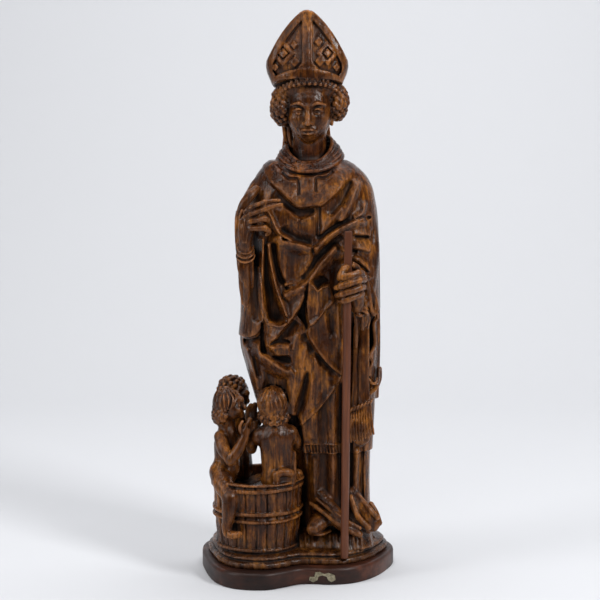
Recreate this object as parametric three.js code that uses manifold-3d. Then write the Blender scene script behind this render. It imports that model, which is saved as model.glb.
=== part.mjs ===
// A carved oak saint in bishop's dress, blessing, with a staff in his left hand and a hooped
// tub holding three boys at his right side. He stands with the tub on one moulded base, cut
// from the same block, and that base rests on a separate darker plinth board.
// Millimetres, +Z up. The front faces -Y. The origin is under the middle of the plinth.

import * as THREE from 'three';
import { mergeVertices } from 'three/addons/utils/BufferGeometryUtils.js';
import Module from 'manifold-3d';

const wasm = await Module();
wasm.setup();

// Driving dimensions
const HEIGHT = 840;
const PLINTH_HALF_WIDTH = 147;
const PLINTH_HALF_DEPTH = 102;
const PLINTH_THICK = 25;
const BASE_TOP = 49;
const GROUND_TOP = 66;
const TUB_X = -60;
const TUB_Y = -4;
const TUB_RADIUS = 66;
const TUB_TOP = 150;
const BODY_Y = 12;
const HEAD_X = 17;
const STAFF_RADIUS = 6;
const STAFF_TOP = 524;
const STAFF_BOTTOM = 36;
const GAP = 0.35;
const ROBE_POWER = 2.4;

const v3 = (p) => new THREE.Vector3(p[0], p[1], p[2]);

// Solids

function solid(geometry) {
  const bare = geometry.index ? geometry.toNonIndexed() : geometry.clone();
  for (const name of Object.keys(bare.attributes)) {
    if (name !== 'position') bare.deleteAttribute(name);
  }
  const merged = mergeVertices(bare, 1e-4);
  return new wasm.Manifold(new wasm.Mesh({
    numProp: 3,
    vertProperties: new Float32Array(merged.attributes.position.array),
    triVerts: new Uint32Array(merged.index.array),
  }));
}

function join(solids) {
  return solids.reduce((all, next) => all.add(next));
}

function meshOf(manifold, name, material) {
  const result = manifold.getMesh();
  const geometry = new THREE.BufferGeometry();
  geometry.setAttribute('position', new THREE.BufferAttribute(result.vertProperties, 3));
  geometry.setIndex(new THREE.BufferAttribute(result.triVerts, 1));
  geometry.computeVertexNormals();
  const mesh = new THREE.Mesh(geometry, material);
  mesh.name = name;
  return mesh;
}

// A closed skin through rings of points, with a fan over each end. Each ring runs anticlockwise
// seen from the end that the rings go towards.
function skin(rings) {
  const count = rings[0].length;
  const centre = (ring) => ring.reduce((sum, p) => sum.add(p), new THREE.Vector3())
    .divideScalar(ring.length);
  const points = [...rings.flat(), centre(rings[0]), centre(rings[rings.length - 1])];
  const first = points.length - 2;
  const last = points.length - 1;
  const faces = [];
  for (let r = 0; r + 1 < rings.length; r += 1) {
    for (let i = 0; i < count; i += 1) {
      const a = r * count + i;
      const b = r * count + (i + 1) % count;
      faces.push(a, b, a + count, b, b + count, a + count);
    }
  }
  const top = (rings.length - 1) * count;
  for (let i = 0; i < count; i += 1) {
    faces.push(first, (i + 1) % count, i);
    faces.push(last, top + i, top + (i + 1) % count);
  }
  const geometry = new THREE.BufferGeometry().setFromPoints(points);
  geometry.setIndex(faces);
  return solid(geometry);
}

// A round-ended limb, roll or strand along a smooth curve. Radii are spread along it; squash
// flattens its section across the direction "flat".
function limb(points, radii, { sides = 6, steps = 4, flat = null, squash = 1 } = {}) {
  const curve = new THREE.CatmullRomCurve3(points.map(v3), false, 'centripetal');
  const rings = [];
  const up = flat ? v3(flat).normalize() : new THREE.Vector3(0.31, -0.9, 0.3).normalize();
  for (let s = 0; s <= steps; s += 1) {
    const t = s / steps;
    const place = t * (radii.length - 1);
    const low = Math.min(Math.floor(place), radii.length - 2);
    const radius = THREE.MathUtils.lerp(radii[low], radii[low + 1], place - low);
    const along = curve.getTangent(t);
    const side = new THREE.Vector3().crossVectors(up, along).normalize();
    const out = new THREE.Vector3().crossVectors(along, side).normalize();
    const ring = [];
    for (let i = 0; i < sides; i += 1) {
      const angle = (2 * Math.PI * i) / sides + Math.PI / 2;
      ring.push(curve.getPoint(t)
        .addScaledVector(side, radius * Math.cos(angle))
        .addScaledVector(out, radius * squash * Math.sin(angle)));
    }
    rings.push(ring);
  }
  return skin(rings);
}

function ball(centre, size, { turns = 8, rows = 5, tilt = [0, 0, 0] } = {}) {
  const geometry = new THREE.SphereGeometry(1, turns, rows);
  geometry.rotateX(Math.PI / 2);
  geometry.scale(...size);
  geometry.applyMatrix4(new THREE.Matrix4().makeRotationFromEuler(new THREE.Euler(...tilt)));
  geometry.translate(...centre);
  return solid(geometry);
}

function curl(centre, radius) {
  return solid(new THREE.IcosahedronGeometry(radius, 0).translate(...centre));
}

// An outline in plan, extruded up from bottom by thick.
function slab(outline, bottom, thick) {
  const shape = new THREE.Shape(outline);
  const geometry = new THREE.ExtrudeGeometry(shape, { depth: thick, bevelEnabled: false });
  return solid(geometry.translate(0, 0, bottom));
}

// An outline seen from the front, in x and z, extruded from y = front to y = back.
function frontCut(outline, front, back) {
  const shape = new THREE.Shape(outline.map(([x, z]) => new THREE.Vector2(x, z)));
  const geometry = new THREE.ExtrudeGeometry(shape, { depth: back - front, bevelEnabled: false });
  geometry.rotateX(Math.PI / 2);
  return solid(geometry.translate(0, back, 0));
}

// A smooth curve through rows of [height, value].
function profile(rows) {
  const slope = (i) => {
    const a = rows[Math.max(i - 1, 0)];
    const b = rows[Math.min(i + 1, rows.length - 1)];
    return (b[1] - a[1]) / (b[0] - a[0]);
  };
  return (z) => {
    if (z <= rows[0][0]) return rows[0][1];
    if (z >= rows[rows.length - 1][0]) return rows[rows.length - 1][1];
    const i = rows.findIndex((row) => row[0] > z) - 1;
    const span = rows[i + 1][0] - rows[i][0];
    const t = (z - rows[i][0]) / span;
    return (2 * t ** 3 - 3 * t ** 2 + 1) * rows[i][1]
      + (t ** 3 - 2 * t ** 2 + t) * span * slope(i)
      + (3 * t ** 2 - 2 * t ** 3) * rows[i + 1][1]
      + (t ** 3 - t ** 2) * span * slope(i + 1);
  };
}

// The body's four sides by height: its own right (the viewer's left), its left, front, back
const bodyRight = profile([[50, -20], [110, -22], [185, -38], [274, -64], [344, -83], [395, -80],
  [468, -82], [540, -80], [585, -69], [609, -54], [624, -34]]);
const bodyLeft = profile([[50, 116], [110, 108], [185, 110], [274, 121], [344, 124], [468, 120],
  [540, 116], [585, 108], [609, 92], [624, 66]]);
const bodyFront = profile([[50, -28], [110, -30], [185, -40], [250, -46], [311, -50], [429, -52],
  [503, -55], [562, -52], [600, -44], [624, -34]]);
const bodyBack = profile([[50, 66], [185, 62], [344, 60], [503, 60], [562, 56], [600, 50],
  [624, 40]]);

function rounded(value) {
  return Math.sign(value) * Math.abs(value) ** (2 / ROBE_POWER);
}

// A point on the body at height z and at angle a from the front, moved out by grow.
function onBody(z, a, grow) {
  const right = bodyRight(z) - grow;
  const left = bodyLeft(z) + grow;
  const middle = (right + left) / 2;
  const across = (left - right) / 2;
  const depth = Math.cos(a) > 0 ? BODY_Y - bodyFront(z) + grow : bodyBack(z) - BODY_Y + grow;
  return new THREE.Vector3(middle + across * rounded(Math.sin(a)),
    BODY_Y - depth * rounded(Math.cos(a)), z);
}

// The y of the body's front at a place seen from the front.
function frontAt(x, z, grow) {
  const middle = (bodyRight(z) + bodyLeft(z)) / 2;
  const across = (bodyLeft(z) - bodyRight(z)) / 2 + grow;
  const share = Math.min(Math.abs(x - middle) / across, 0.98);
  return BODY_Y - (BODY_Y - bodyFront(z) + grow) * (1 - share ** ROBE_POWER) ** (1 / ROBE_POWER);
}

// The robe under the chasuble: alb and dalmatic, with upright folds
const FOLDS_ROUND = 9;

function robe() {
  const columns = 36;
  const heights = [56, 120, 240];
  const rings = heights.map((z) => {
    const ring = [];
    for (let i = 0; i < columns; i += 1) {
      const a = (2 * Math.PI * i) / columns;
      const fold = 3.2 * Math.cos(FOLDS_ROUND * a + z / 90);
      ring.push(onBody(z, a, fold - 5));
    }
    return ring;
  });
  return skin(rings);
}

// The chasuble: its hem drops at the front and at the back and is gathered up at the arms
const CHASUBLE_THICK = 2;
const hemAt = profile([[-180, 215], [-120, 250], [-75, 262], [-40, 215], [-10, 184], [20, 228],
  [48, 272], [75, 262], [110, 262], [140, 240], [180, 215]]);

function chasuble() {
  const columns = 32;
  const rows = 6;
  const rings = [];
  for (let r = 0; r <= rows; r += 1) {
    const ring = [];
    for (let i = 0; i < columns; i += 1) {
      const a = (2 * Math.PI * i) / columns;
      const degrees = ((i * 360) / columns + 180) % 360 - 180;
      const t = 1 - (1 - r / rows) ** 1.25;
      const z = THREE.MathUtils.lerp(hemAt(degrees), 624, t);
      const hang = Math.max(0, 1 - (z - 200) / 330);
      const fold = Math.abs(degrees) > 60 ? 3 * hang * Math.cos(8 * a) : 0;
      ring.push(onBody(z, a, CHASUBLE_THICK + fold));
    }
    rings.push(ring);
  }
  return skin(rings);
}

// Folds carved across the front of the chasuble, by places seen from the front, in x and z
const FOLD_RIDGES = [
  { path: [[-49, 603], [-15, 573], [12, 559], [31, 562], [73, 592], [86, 603]],
    radii: [1.5, 4, 5, 5, 4, 1.5] },
  { path: [[-21, 508], [0, 504], [21, 500], [53, 521], [103, 536]], radii: [5, 7, 8, 7, 3] },
  { path: [[78, 516], [92, 515], [108, 513]], radii: [4, 6, 5] },
  { path: [[79, 490], [94, 486], [108, 477]], radii: [4, 6, 5] },
  { path: [[54, 503], [38, 484], [8, 447], [-8, 438], [-23, 427]], radii: [4, 7, 7, 6, 4] },
  { path: [[-44, 500], [-37, 470], [-25, 427], [-14, 396], [-8, 388]], radii: [5, 7, 7, 6, 4] },
  { path: [[-50, 500], [-52, 457], [-51, 427], [-49, 388]], radii: [5, 7, 7, 5] },
  { path: [[4, 416], [-8, 399], [-31, 366], [-44, 352]], radii: [4, 6, 6, 3] },
  { path: [[-47, 402], [-42, 388], [-27, 384], [-16, 390]], radii: [3, 5, 5, 3] },
  { path: [[-56, 343], [-46, 332], [-23, 317], [-6, 314], [6, 330]], radii: [3, 6, 7, 6, 3] },
  { path: [[27, 430], [24, 400], [26, 370], [40, 325], [70, 273]], radii: [3, 6, 6, 6, 3] },
  { path: [[70, 272], [51, 232], [30, 212], [4, 190]], radii: [3, 3.5, 3.5, 3] },
];

// How far behind the chasuble's surface the middle of a fold runs
const RIDGE_SINK = 0.5;
const HOLLOW_SINK = -2;

// Hollows cut between those folds
const FOLD_HOLLOWS = [
  { path: [[-17, 470], [2, 462], [16, 474]], radii: [4, 7, 5] },
  { path: [[-33, 425], [-31, 408], [-29, 393]], radii: [3, 7, 7] },
  { path: [[20, 440], [18, 415], [19, 385], [22, 360]], radii: [2, 6, 6, 3] },
  { path: [[-2, 326], [-6, 305], [-10, 285]], radii: [3, 6, 5] },
];

function foldRoll({ path, radii }, sink) {
  const places = path.map(([x, z]) => [x, frontAt(x, z, CHASUBLE_THICK) + sink, z]);
  return limb(places, radii, { sides: 3, steps: path.length });
}

// Upright folds at the front of the alb, and its trailing tips over the base
function albFolds() {
  const upright = [
    [[12, 186], [10, 140], [12, 100]], [[38, 240], [42, 170], [46, 110]],
    [[92, 196], [92, 140], [92, 96]],
  ].map((path) => limb(path.map(([x, z]) => [x, frontAt(x, z, -4), z]), [4, 7, 6],
    { sides: 4, steps: 2 }));
  const tips = [
    [[30, -26, 116], [44, -35, 98], [60, -40, 80], [76, -42, 70]],
    [[66, -18, 118], [76, -27, 96], [86, -36, 78], [94, -38, 65]],
    [[92, -16, 116], [101, -22, 96], [112, -26, 66]],
  ].map((path) => limb(path, [4, 8, 8, 6], { sides: 5, steps: 3 }));
  return [...upright, ...tips];
}

// Head, hair and mitre
const FACE_Y = -8;

function head() {
  const at = (x, y, z) => [HEAD_X + x, FACE_Y + y, z];
  const parts = [
    ball(at(0, 8, 700), [32, 37, 42], { turns: 12, rows: 6 }),
    ball(at(0, -2, 678), [25, 27, 28], { turns: 9, rows: 5 }),
    limb([at(0, 10, 608), at(0, 8, 640), at(0, 6, 676)], [27, 24, 22], { sides: 8, steps: 1 }),
    limb([at(0, -24, 704), at(0, -29, 694), at(0, -29.5, 686)], [2, 3.4, 4.6],
      { steps: 2, sides: 5 }),
    ball(at(0, -26, 671), [8, 5, 3], { turns: 5, rows: 3 }),
    ball(at(0, -23, 657), [8, 6, 6], { turns: 6, rows: 4 }),
  ];
  for (const side of [-1, 1]) {
    parts.push(ball(at(12 * side, -21, 702), [6, 5, 3.5], { turns: 6, rows: 4 }));
    parts.push(limb([at(4 * side, -25, 709), at(12 * side, -23, 712), at(20 * side, -17, 708)],
      [1.6, 2.4, 1.6], { steps: 2, sides: 4 }));
  }
  return parts;
}

function hair() {
  const parts = [];
  for (let i = -2; i <= 2; i += 1) {
    const a = i * 0.5;
    parts.push(curl([HEAD_X + 37 * Math.sin(a), FACE_Y + 10 - 40 * Math.cos(a),
      733 - 6 * Math.abs(a) ** 1.6], 7));
  }
  for (const side of [-1, 1]) {
    parts.push(ball([HEAD_X + 38 * side, 4, 700], [13, 22, 25], { turns: 6, rows: 4 }));
    for (let i = 0; i < 3; i += 1) {
      const a = i * 2.4;
      const rise = (i - 1) * 16;
      parts.push(curl([HEAD_X + side * (43 + 4 * Math.cos(a)), -5 + 8 * Math.cos(a), 700 + rise],
        9));
    }
  }
  parts.push(ball([HEAD_X, 24, 700], [38, 22, 34], { turns: 8, rows: 4 }));
  parts.push(ball([HEAD_X, 2, 728], [39, 38, 20], { turns: 8, rows: 3 }));
  return parts;
}

const MITRE_FOOT = 729;
const MITRE_WIDEST = 764;

// The mitre's front seen from ahead: a pointed arch with round shoulders
function mitreArch(inset) {
  const half = [[MITRE_FOOT, 50], [750, 57], [MITRE_WIDEST, 59.5], [777, 55], [800, 38],
    [828, 14], [HEIGHT, 4]];
  const right = half.map(([z, x]) => [HEAD_X - 4 + Math.max(x - inset, 1), z - inset * 0.4]);
  const left = half.map(([z, x]) => [HEAD_X - 4 - Math.max(x - inset, 1), z - inset * 0.4]);
  return [...right, ...left.reverse()];
}

function mitre() {
  const depth = profile([[MITRE_FOOT, 45], [MITRE_WIDEST, 44], [800, 36], [HEIGHT, 27]]);
  const columns = 14;
  const rings = [MITRE_FOOT, MITRE_WIDEST, 800, HEIGHT + 1].map((z) => {
    const ring = [];
    for (let i = 0; i < columns; i += 1) {
      const a = (2 * Math.PI * i) / columns;
      ring.push(new THREE.Vector3(HEAD_X - 4 + 64 * Math.sin(a), 2 - depth(z) * Math.cos(a), z));
    }
    return ring;
  });
  const body = skin(rings).intersect(frontCut(mitreArch(0), -60, 60));
  const cleft = [[0, 756], [9, 800], [17, 860], [-17, 860], [-9, 800]];
  const wedge = new THREE.ExtrudeGeometry(
    new THREE.Shape(cleft.map(([y, z]) => new THREE.Vector2(y + 2, z))),
    { depth: 160, bevelEnabled: false },
  );
  wedge.rotateX(Math.PI / 2).rotateZ(Math.PI / 2).translate(HEAD_X - 80, 0, 0);
  const parts = [body.subtract(solid(wedge))];
  const face = -depth(790) - 0.5;
  parts.push(limb([[HEAD_X - 3, -44, 748], [HEAD_X - 3, face + 2, 785], [HEAD_X - 4, -29, 826]],
    [6, 6, 4], { steps: 3, flat: [0, 1, 0], squash: 0.6 }));
  for (const side of [-1, 1]) {
    const x = HEAD_X - 4 + side * 25;
    const gem = new THREE.CylinderGeometry(9, 12, 10, 4).rotateX(Math.PI / 2);
    parts.push(solid(gem.translate(x, -33, 774)));
    for (let i = 0; i < 2; i += 1) {
      const lozenge = new THREE.OctahedronGeometry(6, 0);
      parts.push(solid(lozenge.translate(HEAD_X - 4 + side * 12, -39 + i * 4, 763 + i * 20)));
    }
    parts.push(limb([[HEAD_X + side * 20, 42, 738], [HEAD_X + side * 26, 46, 680],
      [HEAD_X + side * 32, 48, 606]], [10, 9, 10], { steps: 2, sides: 4, flat: [0, 1, 0], squash: 0.35 }));
  }
  return parts;
}

// The twisted amice round the neck
function amice() {
  const ring = new THREE.TorusGeometry(36, 13, 6, 11);
  ring.scale(1, 1.05, 1).rotateX(0.28).translate(HEAD_X + 1, 6, 626);
  const parts = [solid(ring)];
  for (let i = 0; i < 3; i += 1) {
    const a = -1 + i;
    const turn = (t, radius, z) => [HEAD_X + 1 + radius * Math.sin(a + t),
      6 - radius * Math.cos(a + t), z - 11 * Math.cos(a + t)];
    parts.push(limb([turn(-0.35, 40, 640), turn(0, 48, 628), turn(0.35, 46, 616)], [3, 5.5, 3],
      { sides: 4, steps: 2 }));
  }
  return parts;
}

// Arms, hands and cuffs
function rightArm() {
  const parts = [
    limb([[-60, 12, 585], [-72, 2, 520], [-73, -8, 462], [-71, -22, 446]], [19, 18, 20, 20],
      { sides: 6, steps: 3 }),
    limb([[-70, -8, 448], [-73, -34, 456], [-75, -46, 478]], [22, 18, 13], { sides: 7, steps: 2 }),
    limb([[-73, -30, 470], [-76, -32, 440], [-77, -26, 414]], [14, 11, 6], { sides: 6, steps: 2 }),
    limb([[-75, -44, 470], [-75, -54, 490], [-75, -60, 506], [-74, -62, 520]], [11, 9, 9, 10],
      { sides: 6, steps: 2 }),
    ball([-73, -62, 530], [12, 9, 20], { tilt: [0, 0.12, 0] }),
  ];
  const fingers = [
    { path: [[-72, -64, 550], [-60, -71, 560], [-45, -74, 566], [-26, -76, 569]], end: 2.8 },
    { path: [[-72, -66, 542], [-60, -74, 550], [-42, -77, 558], [-23, -79, 563]], end: 2.8 },
    { path: [[-71, -66, 532], [-59, -74, 539], [-47, -77, 542], [-45, -70, 537]], end: 3.4 },
    { path: [[-71, -64, 523], [-59, -73, 528], [-46, -75, 527], [-45, -68, 519]], end: 3.2 },
    { path: [[-73, -57, 540], [-68, -59, 556], [-57, -62, 571]], end: 3.4 },
  ];
  for (const { path, end } of fingers) {
    parts.push(limb(path, [4.8, 4.4, 4, end], { sides: 4, steps: 3 }));
  }
  return parts;
}

function leftArm() {
  const parts = [
    limb([[92, 12, 588], [104, 6, 520], [108, -2, 440], [106, -12, 396]], [20, 19, 17, 15],
      { sides: 6, steps: 3 }),
    limb([[107, -10, 398], [97, -34, 394], [90, -48, 404]], [17, 15, 12], { sides: 7, steps: 2 }),
    limb([[96, -38, 398], [88, -52, 408], [84, -58, 424]], [11, 10, 12], { sides: 7, steps: 2 }),
    ball([80, -61, 445], [15, 13, 31], { tilt: [0, -0.1, 0.3] }),
    ball([59, -68, 462], [7, 7, 9], { turns: 6, rows: 4 }),
  ];
  for (let i = 0; i < 4; i += 1) {
    const z = 464 - i * 13.5;
    parts.push(limb([[91 - i, -60, z + 1], [83, -73, z], [68, -80, z - 3], [56, -73, z - 6]],
      [5.8, 7, 6.8, 5], { sides: 5, steps: 3 }));
  }
  return parts;
}

function maniple() {
  const band = limb([[91, -40, 385], [92, -43, 330], [94, -44, 264]], [13, 13, 14],
    { steps: 2, sides: 6, flat: [0, 1, 0], squash: 0.3 });
  const roll = limb([[77, -43, 250], [93, -46, 256], [110, -32, 262]], [5, 5, 5], { steps: 2 });
  const fringe = limb([[93, -40, 254], [95, -41, 228], [96, -41, 203]], [15, 18, 20],
    { steps: 2, sides: 8, flat: [0, 1, 0], squash: 0.32 });
  return [band, roll, fringe];
}

function dalmaticFringe() {
  const rows = [[6, 198], [22, 197], [40, 196], [58, 195]];
  return limb(rows.map(([x, z]) => [x, frontAt(x, z, -2), z]), [6, 7, 7, 6],
    { steps: 3, sides: 6, flat: [0, 1, 0], squash: 0.6 });
}

// The tub with its hoops, and three boys in it
function tub() {
  const hoop = (z, half) => [[TUB_RADIUS - 1, z - half - 0.8], [TUB_RADIUS + 2, z - half],
    [TUB_RADIUS + 2, z + half], [TUB_RADIUS - 1, z + half + 0.8]];
  const wall = [
    [0, BASE_TOP - 6], [TUB_RADIUS - 3, BASE_TOP - 6], [TUB_RADIUS - 2, BASE_TOP + 8],
    ...hoop(95.5, 8), ...hoop(134, 3), [TUB_RADIUS + 1, TUB_TOP],
    [TUB_RADIUS - 6, TUB_TOP], [TUB_RADIUS - 8, TUB_TOP - 9], [0, TUB_TOP - 6],
  ].map(([r, z]) => new THREE.Vector2(r, z));
  const lathe = new THREE.LatheGeometry(wall, 16).rotateX(Math.PI / 2).translate(TUB_X, TUB_Y, 0);
  const handle = limb([[-32, -57, 138], [-31, -57, 160], [-21, -54, 168], [-11, -50, 164],
    [-9, -47, 140]], [5, 5, 5.5, 5, 4.5], { steps: 6, sides: 6 });
  return [solid(lathe), handle];
}

function boyAtTheRim() {
  return [
    ball([-103, -14, 260], [21, 20, 23], { turns: 8, rows: 5, tilt: [0, -0.35, 0] }),
    ball([-111, -12, 243], [13, 16, 17], { turns: 6, rows: 4 }),
    ball([-94, -18, 250], [12, 14, 13], { turns: 6, rows: 4 }),
    limb([[-104, -12, 240], [-105, -12, 212], [-108, -12, 176], [-110, -13, 148]],
      [11, 17, 17, 19], { sides: 7, steps: 3 }),
    limb([[-113, -23, 211], [-109, -36, 197], [-98, -46, 182]], [10, 9, 8],
      { steps: 2, sides: 4 }),
    limb([[-98, -46, 182], [-88, -46, 197], [-79, -43, 216]], [8, 7, 6], { steps: 2, sides: 4 }),
    limb([[-98, 0, 212], [-88, -8, 198], [-78, -28, 220]], [8, 7, 5], { steps: 2, sides: 4 }),
    limb([[-79, -43, 214], [-76, -43, 228], [-71, -40, 243]], [7, 7, 4], { steps: 2, sides: 4 }),
    limb([[-114, -20, 156], [-110, -40, 144], [-99, -58, 128]], [17, 15, 12],
      { sides: 6, steps: 2 }),
    limb([[-99, -60, 129], [-101, -63, 108], [-104, -62, 84], [-104, -62, 76]], [12, 10, 8, 7],
      { sides: 7, steps: 3 }),
    limb([[-105, -62, 80], [-96, -70, 77], [-86, -75, 77]], [7, 7, 6], { steps: 2, sides: 4 }),
  ];
}

function boyFromBehind() {
  return [
    ball([-36, -33, 266], [24, 23, 26], { turns: 9, rows: 5 }),
    ball([-35, -30, 250], [22, 20, 15], { turns: 8, rows: 4 }),
    limb([[-33, -29, 240], [-32, -31, 216], [-31, -34, 184], [-32, -34, 144]], [12, 23, 21, 24],
      { sides: 7, steps: 3 }),
    limb([[-50, -31, 217], [-64, -28, 206], [-69, -24, 193]], [12, 10, 8], { steps: 2, sides: 6 }),
    limb([[-69, -24, 194], [-66, -12, 208], [-63, 0, 226]], [8, 7, 5], { steps: 2, sides: 4 }),
    limb([[-16, -31, 220], [-4, -26, 210], [0, -14, 200]], [12, 10, 8], { steps: 2, sides: 6 }),
  ];
}

function boyBehind() {
  return [
    ball([-97, 38, 267], [22, 21, 22], { turns: 7, rows: 5 }),
    limb([[-95, 38, 248], [-92, 38, 220], [-90, 36, 182], [-88, 34, 136]], [10, 18, 17, 20],
      { sides: 7, steps: 3 }),
    limb([[-78, 34, 220], [-67, 26, 196], [-68, 20, 214], [-67, 13, 238], [-65, 10, 252]],
      [9, 7, 8, 8, 5], { steps: 4, sides: 5 }),
  ];
}

// The moulded base, the rough ground on it, and the board under it
const PLINTH_HALF = [[147, 40], [143, 68], [128, 90], [98, 101], [50, PLINTH_HALF_DEPTH]];
const PLINTH_FRONT = [[-146, 36], [-139, -8], [-127, -52], [-112, -78], [-92, -95], [-64, -102],
  [-42, -100], [-20, -88], [2, -74], [24, -72], [46, -75], [75, -70], [100, -54], [121, -28],
  [138, 8]];

// The plinth's outline in plan, drawn in by inset, as a smooth closed curve
function plinthOutline(inset, count = 60) {
  const back = PLINTH_HALF.slice(1).map(([x, y]) => [-x, y]).reverse();
  const points = [...PLINTH_FRONT, ...PLINTH_HALF, ...back].map(([x, y]) => v3([x, y, 0]));
  const curve = new THREE.CatmullRomCurve3(points, true, 'centripetal');
  const outline = [];
  for (let i = 0; i < count; i += 1) {
    const place = curve.getPoint(i / count);
    const along = curve.getTangent(i / count);
    const x = THREE.MathUtils.clamp(place.x, -PLINTH_HALF_WIDTH, PLINTH_HALF_WIDTH);
    const y = THREE.MathUtils.clamp(place.y, -PLINTH_HALF_DEPTH, PLINTH_HALF_DEPTH);
    outline.push(new THREE.Vector2(x - inset * along.y, y + inset * along.x));
  }
  return outline;
}

// The moulded base keeps the plinth's outline, narrower and set back at the front
const BASE_SHARE_X = 0.935;
const BASE_SHARE_Y = 0.87;
const BASE_PIVOT_Y = 40;

function base() {
  const steps = [[25, 2], [31, 0], [40, 2], [46, 8], [BASE_TOP, 13]];
  const rings = steps.map(([z, inset]) => plinthOutline(inset, 26)
    .map((p) => new THREE.Vector3(p.x * BASE_SHARE_X, BASE_PIVOT_Y
      + (p.y - BASE_PIVOT_Y) * BASE_SHARE_Y, z)));
  const block = slab(groundOutline(), BASE_TOP - 4, GROUND_TOP - BASE_TOP + 4);
  return [skin(rings), block];
}

function groundOutline() {
  const outline = [];
  for (let i = 0; i < 18; i += 1) {
    const a = (2 * Math.PI * i) / 18;
    const rough = 1 + 0.03 * Math.sin(5 * a + 1);
    outline.push(new THREE.Vector2(50 + 72 * rough * rounded(Math.cos(a)),
      12 + 52 * rough * rounded(Math.sin(a))));
  }
  return outline;
}

function shoe() {
  return [
    limb([[42, -4, 86], [34, -20, 81], [28, -35, 74]], [17, 15, 9],
      { sides: 8, steps: 3, flat: [0, 0, 1], squash: 0.75 }),
  ];
}

// The staff: round below the fist, a squared lath above it
function staff(grow) {
  const foot = v3([69.5, -57, STAFF_BOTTOM - grow]);
  const grip = v3([72, -69, 430]);
  const top = v3([73.5, -68, STAFF_TOP + grow]);
  const rod = (from, to, lowRadius, highRadius, sides) => {
    const length = from.distanceTo(to);
    const geometry = new THREE.CylinderGeometry(highRadius + grow, lowRadius + grow, length, sides);
    geometry.translate(0, length / 2, 0);
    const turn = new THREE.Quaternion().setFromUnitVectors(new THREE.Vector3(0, 1, 0),
      new THREE.Vector3().subVectors(to, from).normalize());
    return solid(geometry.applyQuaternion(turn).translate(from.x, from.y, from.z));
  };
  const lath = new THREE.BoxGeometry(11 + 2 * grow, 8 + 2 * grow, top.z - grip.z + 8);
  lath.translate(72.8, -68.5, (top.z + grip.z) / 2 - 4);
  const taperedEnd = rod(grip, top, STAFF_RADIUS, STAFF_RADIUS, 12);
  return rod(foot, grip, STAFF_RADIUS - 0.4, STAFF_RADIUS, 12)
    .add(taperedEnd.intersect(solid(lath)));
}

// What is left of a thin metal label on the plinth's front
const LABEL_OUTLINE = [[17, 7], [23, 4], [29, 7], [31, 13], [37, 15], [43, 13], [45, 8], [50, 5],
  [56, 8], [55, 15], [51, 17], [45, 19], [40, 17], [33, 20], [26, 19], [25, 12], [18, 12]];

function label() {
  const thick = 0.8;
  const shell = slab(plinthOutline(-GAP - thick, 60), 2, 20)
    .subtract(slab(plinthOutline(-GAP, 60), 0, 28));
  return shell.intersect(frontCut(LABEL_OUTLINE, -90, -50));
}

const oak = new THREE.MeshStandardMaterial({ color: 0x5a3417, roughness: 0.42, metalness: 0 });
const redWood = new THREE.MeshStandardMaterial({ color: 0x5c2a17, roughness: 0.5, metalness: 0 });
const darkWood = new THREE.MeshStandardMaterial({ color: 0x2e1813, roughness: 0.55, metalness: 0 });
const wornMetal = new THREE.MeshStandardMaterial({ color: 0x8c8266, roughness: 0.6, metalness: 0.8 });

const hollows = join(FOLD_HOLLOWS.map((hollow) => foldRoll(hollow, HOLLOW_SINK)));
const carving = join([robe(), chasuble()])
  .subtract(hollows)
  .add(join(FOLD_RIDGES.map((ridge) => foldRoll(ridge, RIDGE_SINK))))
  .add(join([...albFolds(), ...head(), ...hair(), ...mitre(), ...amice(), ...rightArm(),
    ...leftArm(), ...maniple(), dalmaticFringe(), ...tub(), ...boyAtTheRim(),
    ...boyFromBehind(), ...boyBehind(), ...base(), ...shoe()]))
  .subtract(staff(GAP));

const statue = new THREE.Group();
statue.add(meshOf(carving, 'carved_oak_group', oak));
statue.add(meshOf(staff(0), 'staff', redWood));
statue.add(meshOf(slab(plinthOutline(0, 48), 0, PLINTH_THICK), 'plinth', darkWood));
statue.add(meshOf(label(), 'label_remnant', wornMetal));

export default statue;
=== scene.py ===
"""The looks of a carved oak saint with three boys in a tub, on a dark plinth board.

The carving is one distance field, sampled on a grid and turned into one mesh, so that cloth,
hands, hair and boys run into each other as they do in a block of wood. Places are in
millimetres: x to the viewer's right, y away from the viewer, z up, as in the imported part.
"""

import math

import bpy
import numpy as np
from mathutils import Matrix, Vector


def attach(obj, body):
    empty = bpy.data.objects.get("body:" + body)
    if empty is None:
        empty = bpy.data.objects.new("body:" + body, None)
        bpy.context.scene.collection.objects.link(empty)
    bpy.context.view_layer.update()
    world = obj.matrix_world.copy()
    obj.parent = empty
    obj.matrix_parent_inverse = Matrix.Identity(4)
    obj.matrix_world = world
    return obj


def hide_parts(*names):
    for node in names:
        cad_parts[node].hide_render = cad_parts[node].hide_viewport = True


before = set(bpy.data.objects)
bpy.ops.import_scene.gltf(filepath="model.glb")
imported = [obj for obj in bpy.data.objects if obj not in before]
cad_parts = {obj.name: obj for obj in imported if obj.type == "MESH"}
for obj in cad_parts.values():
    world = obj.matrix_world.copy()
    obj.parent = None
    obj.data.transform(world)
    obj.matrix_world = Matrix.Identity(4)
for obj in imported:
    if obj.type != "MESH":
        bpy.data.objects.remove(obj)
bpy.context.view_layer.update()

MM = 0.001
VOXEL = 1.2
LOW = np.array([-142.0, -104.0, 22.8])
HIGH = np.array([142.0, 104.0, 844.0])
FAR = 30.0
REACH = 8.0
BODY_Y = 12.0
ROBE_POWER = 2.4
BASE_BOTTOM = 25.0
BASE_TOP = 49.0
GROUND_TOP = 66.0
TUB = (-60.0, -4.0)
TUB_RADIUS = 66.0
TUB_TOP = 150.0
MITRE_X = 14.0
HEAD_X = 17.5
FACE = (HEAD_X, -5.0, 697.0)
STAFF_FOOT = (69.5, -57.0, 36.0)
STAFF_GRIP = (72.0, -69.0, 430.0)
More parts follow.
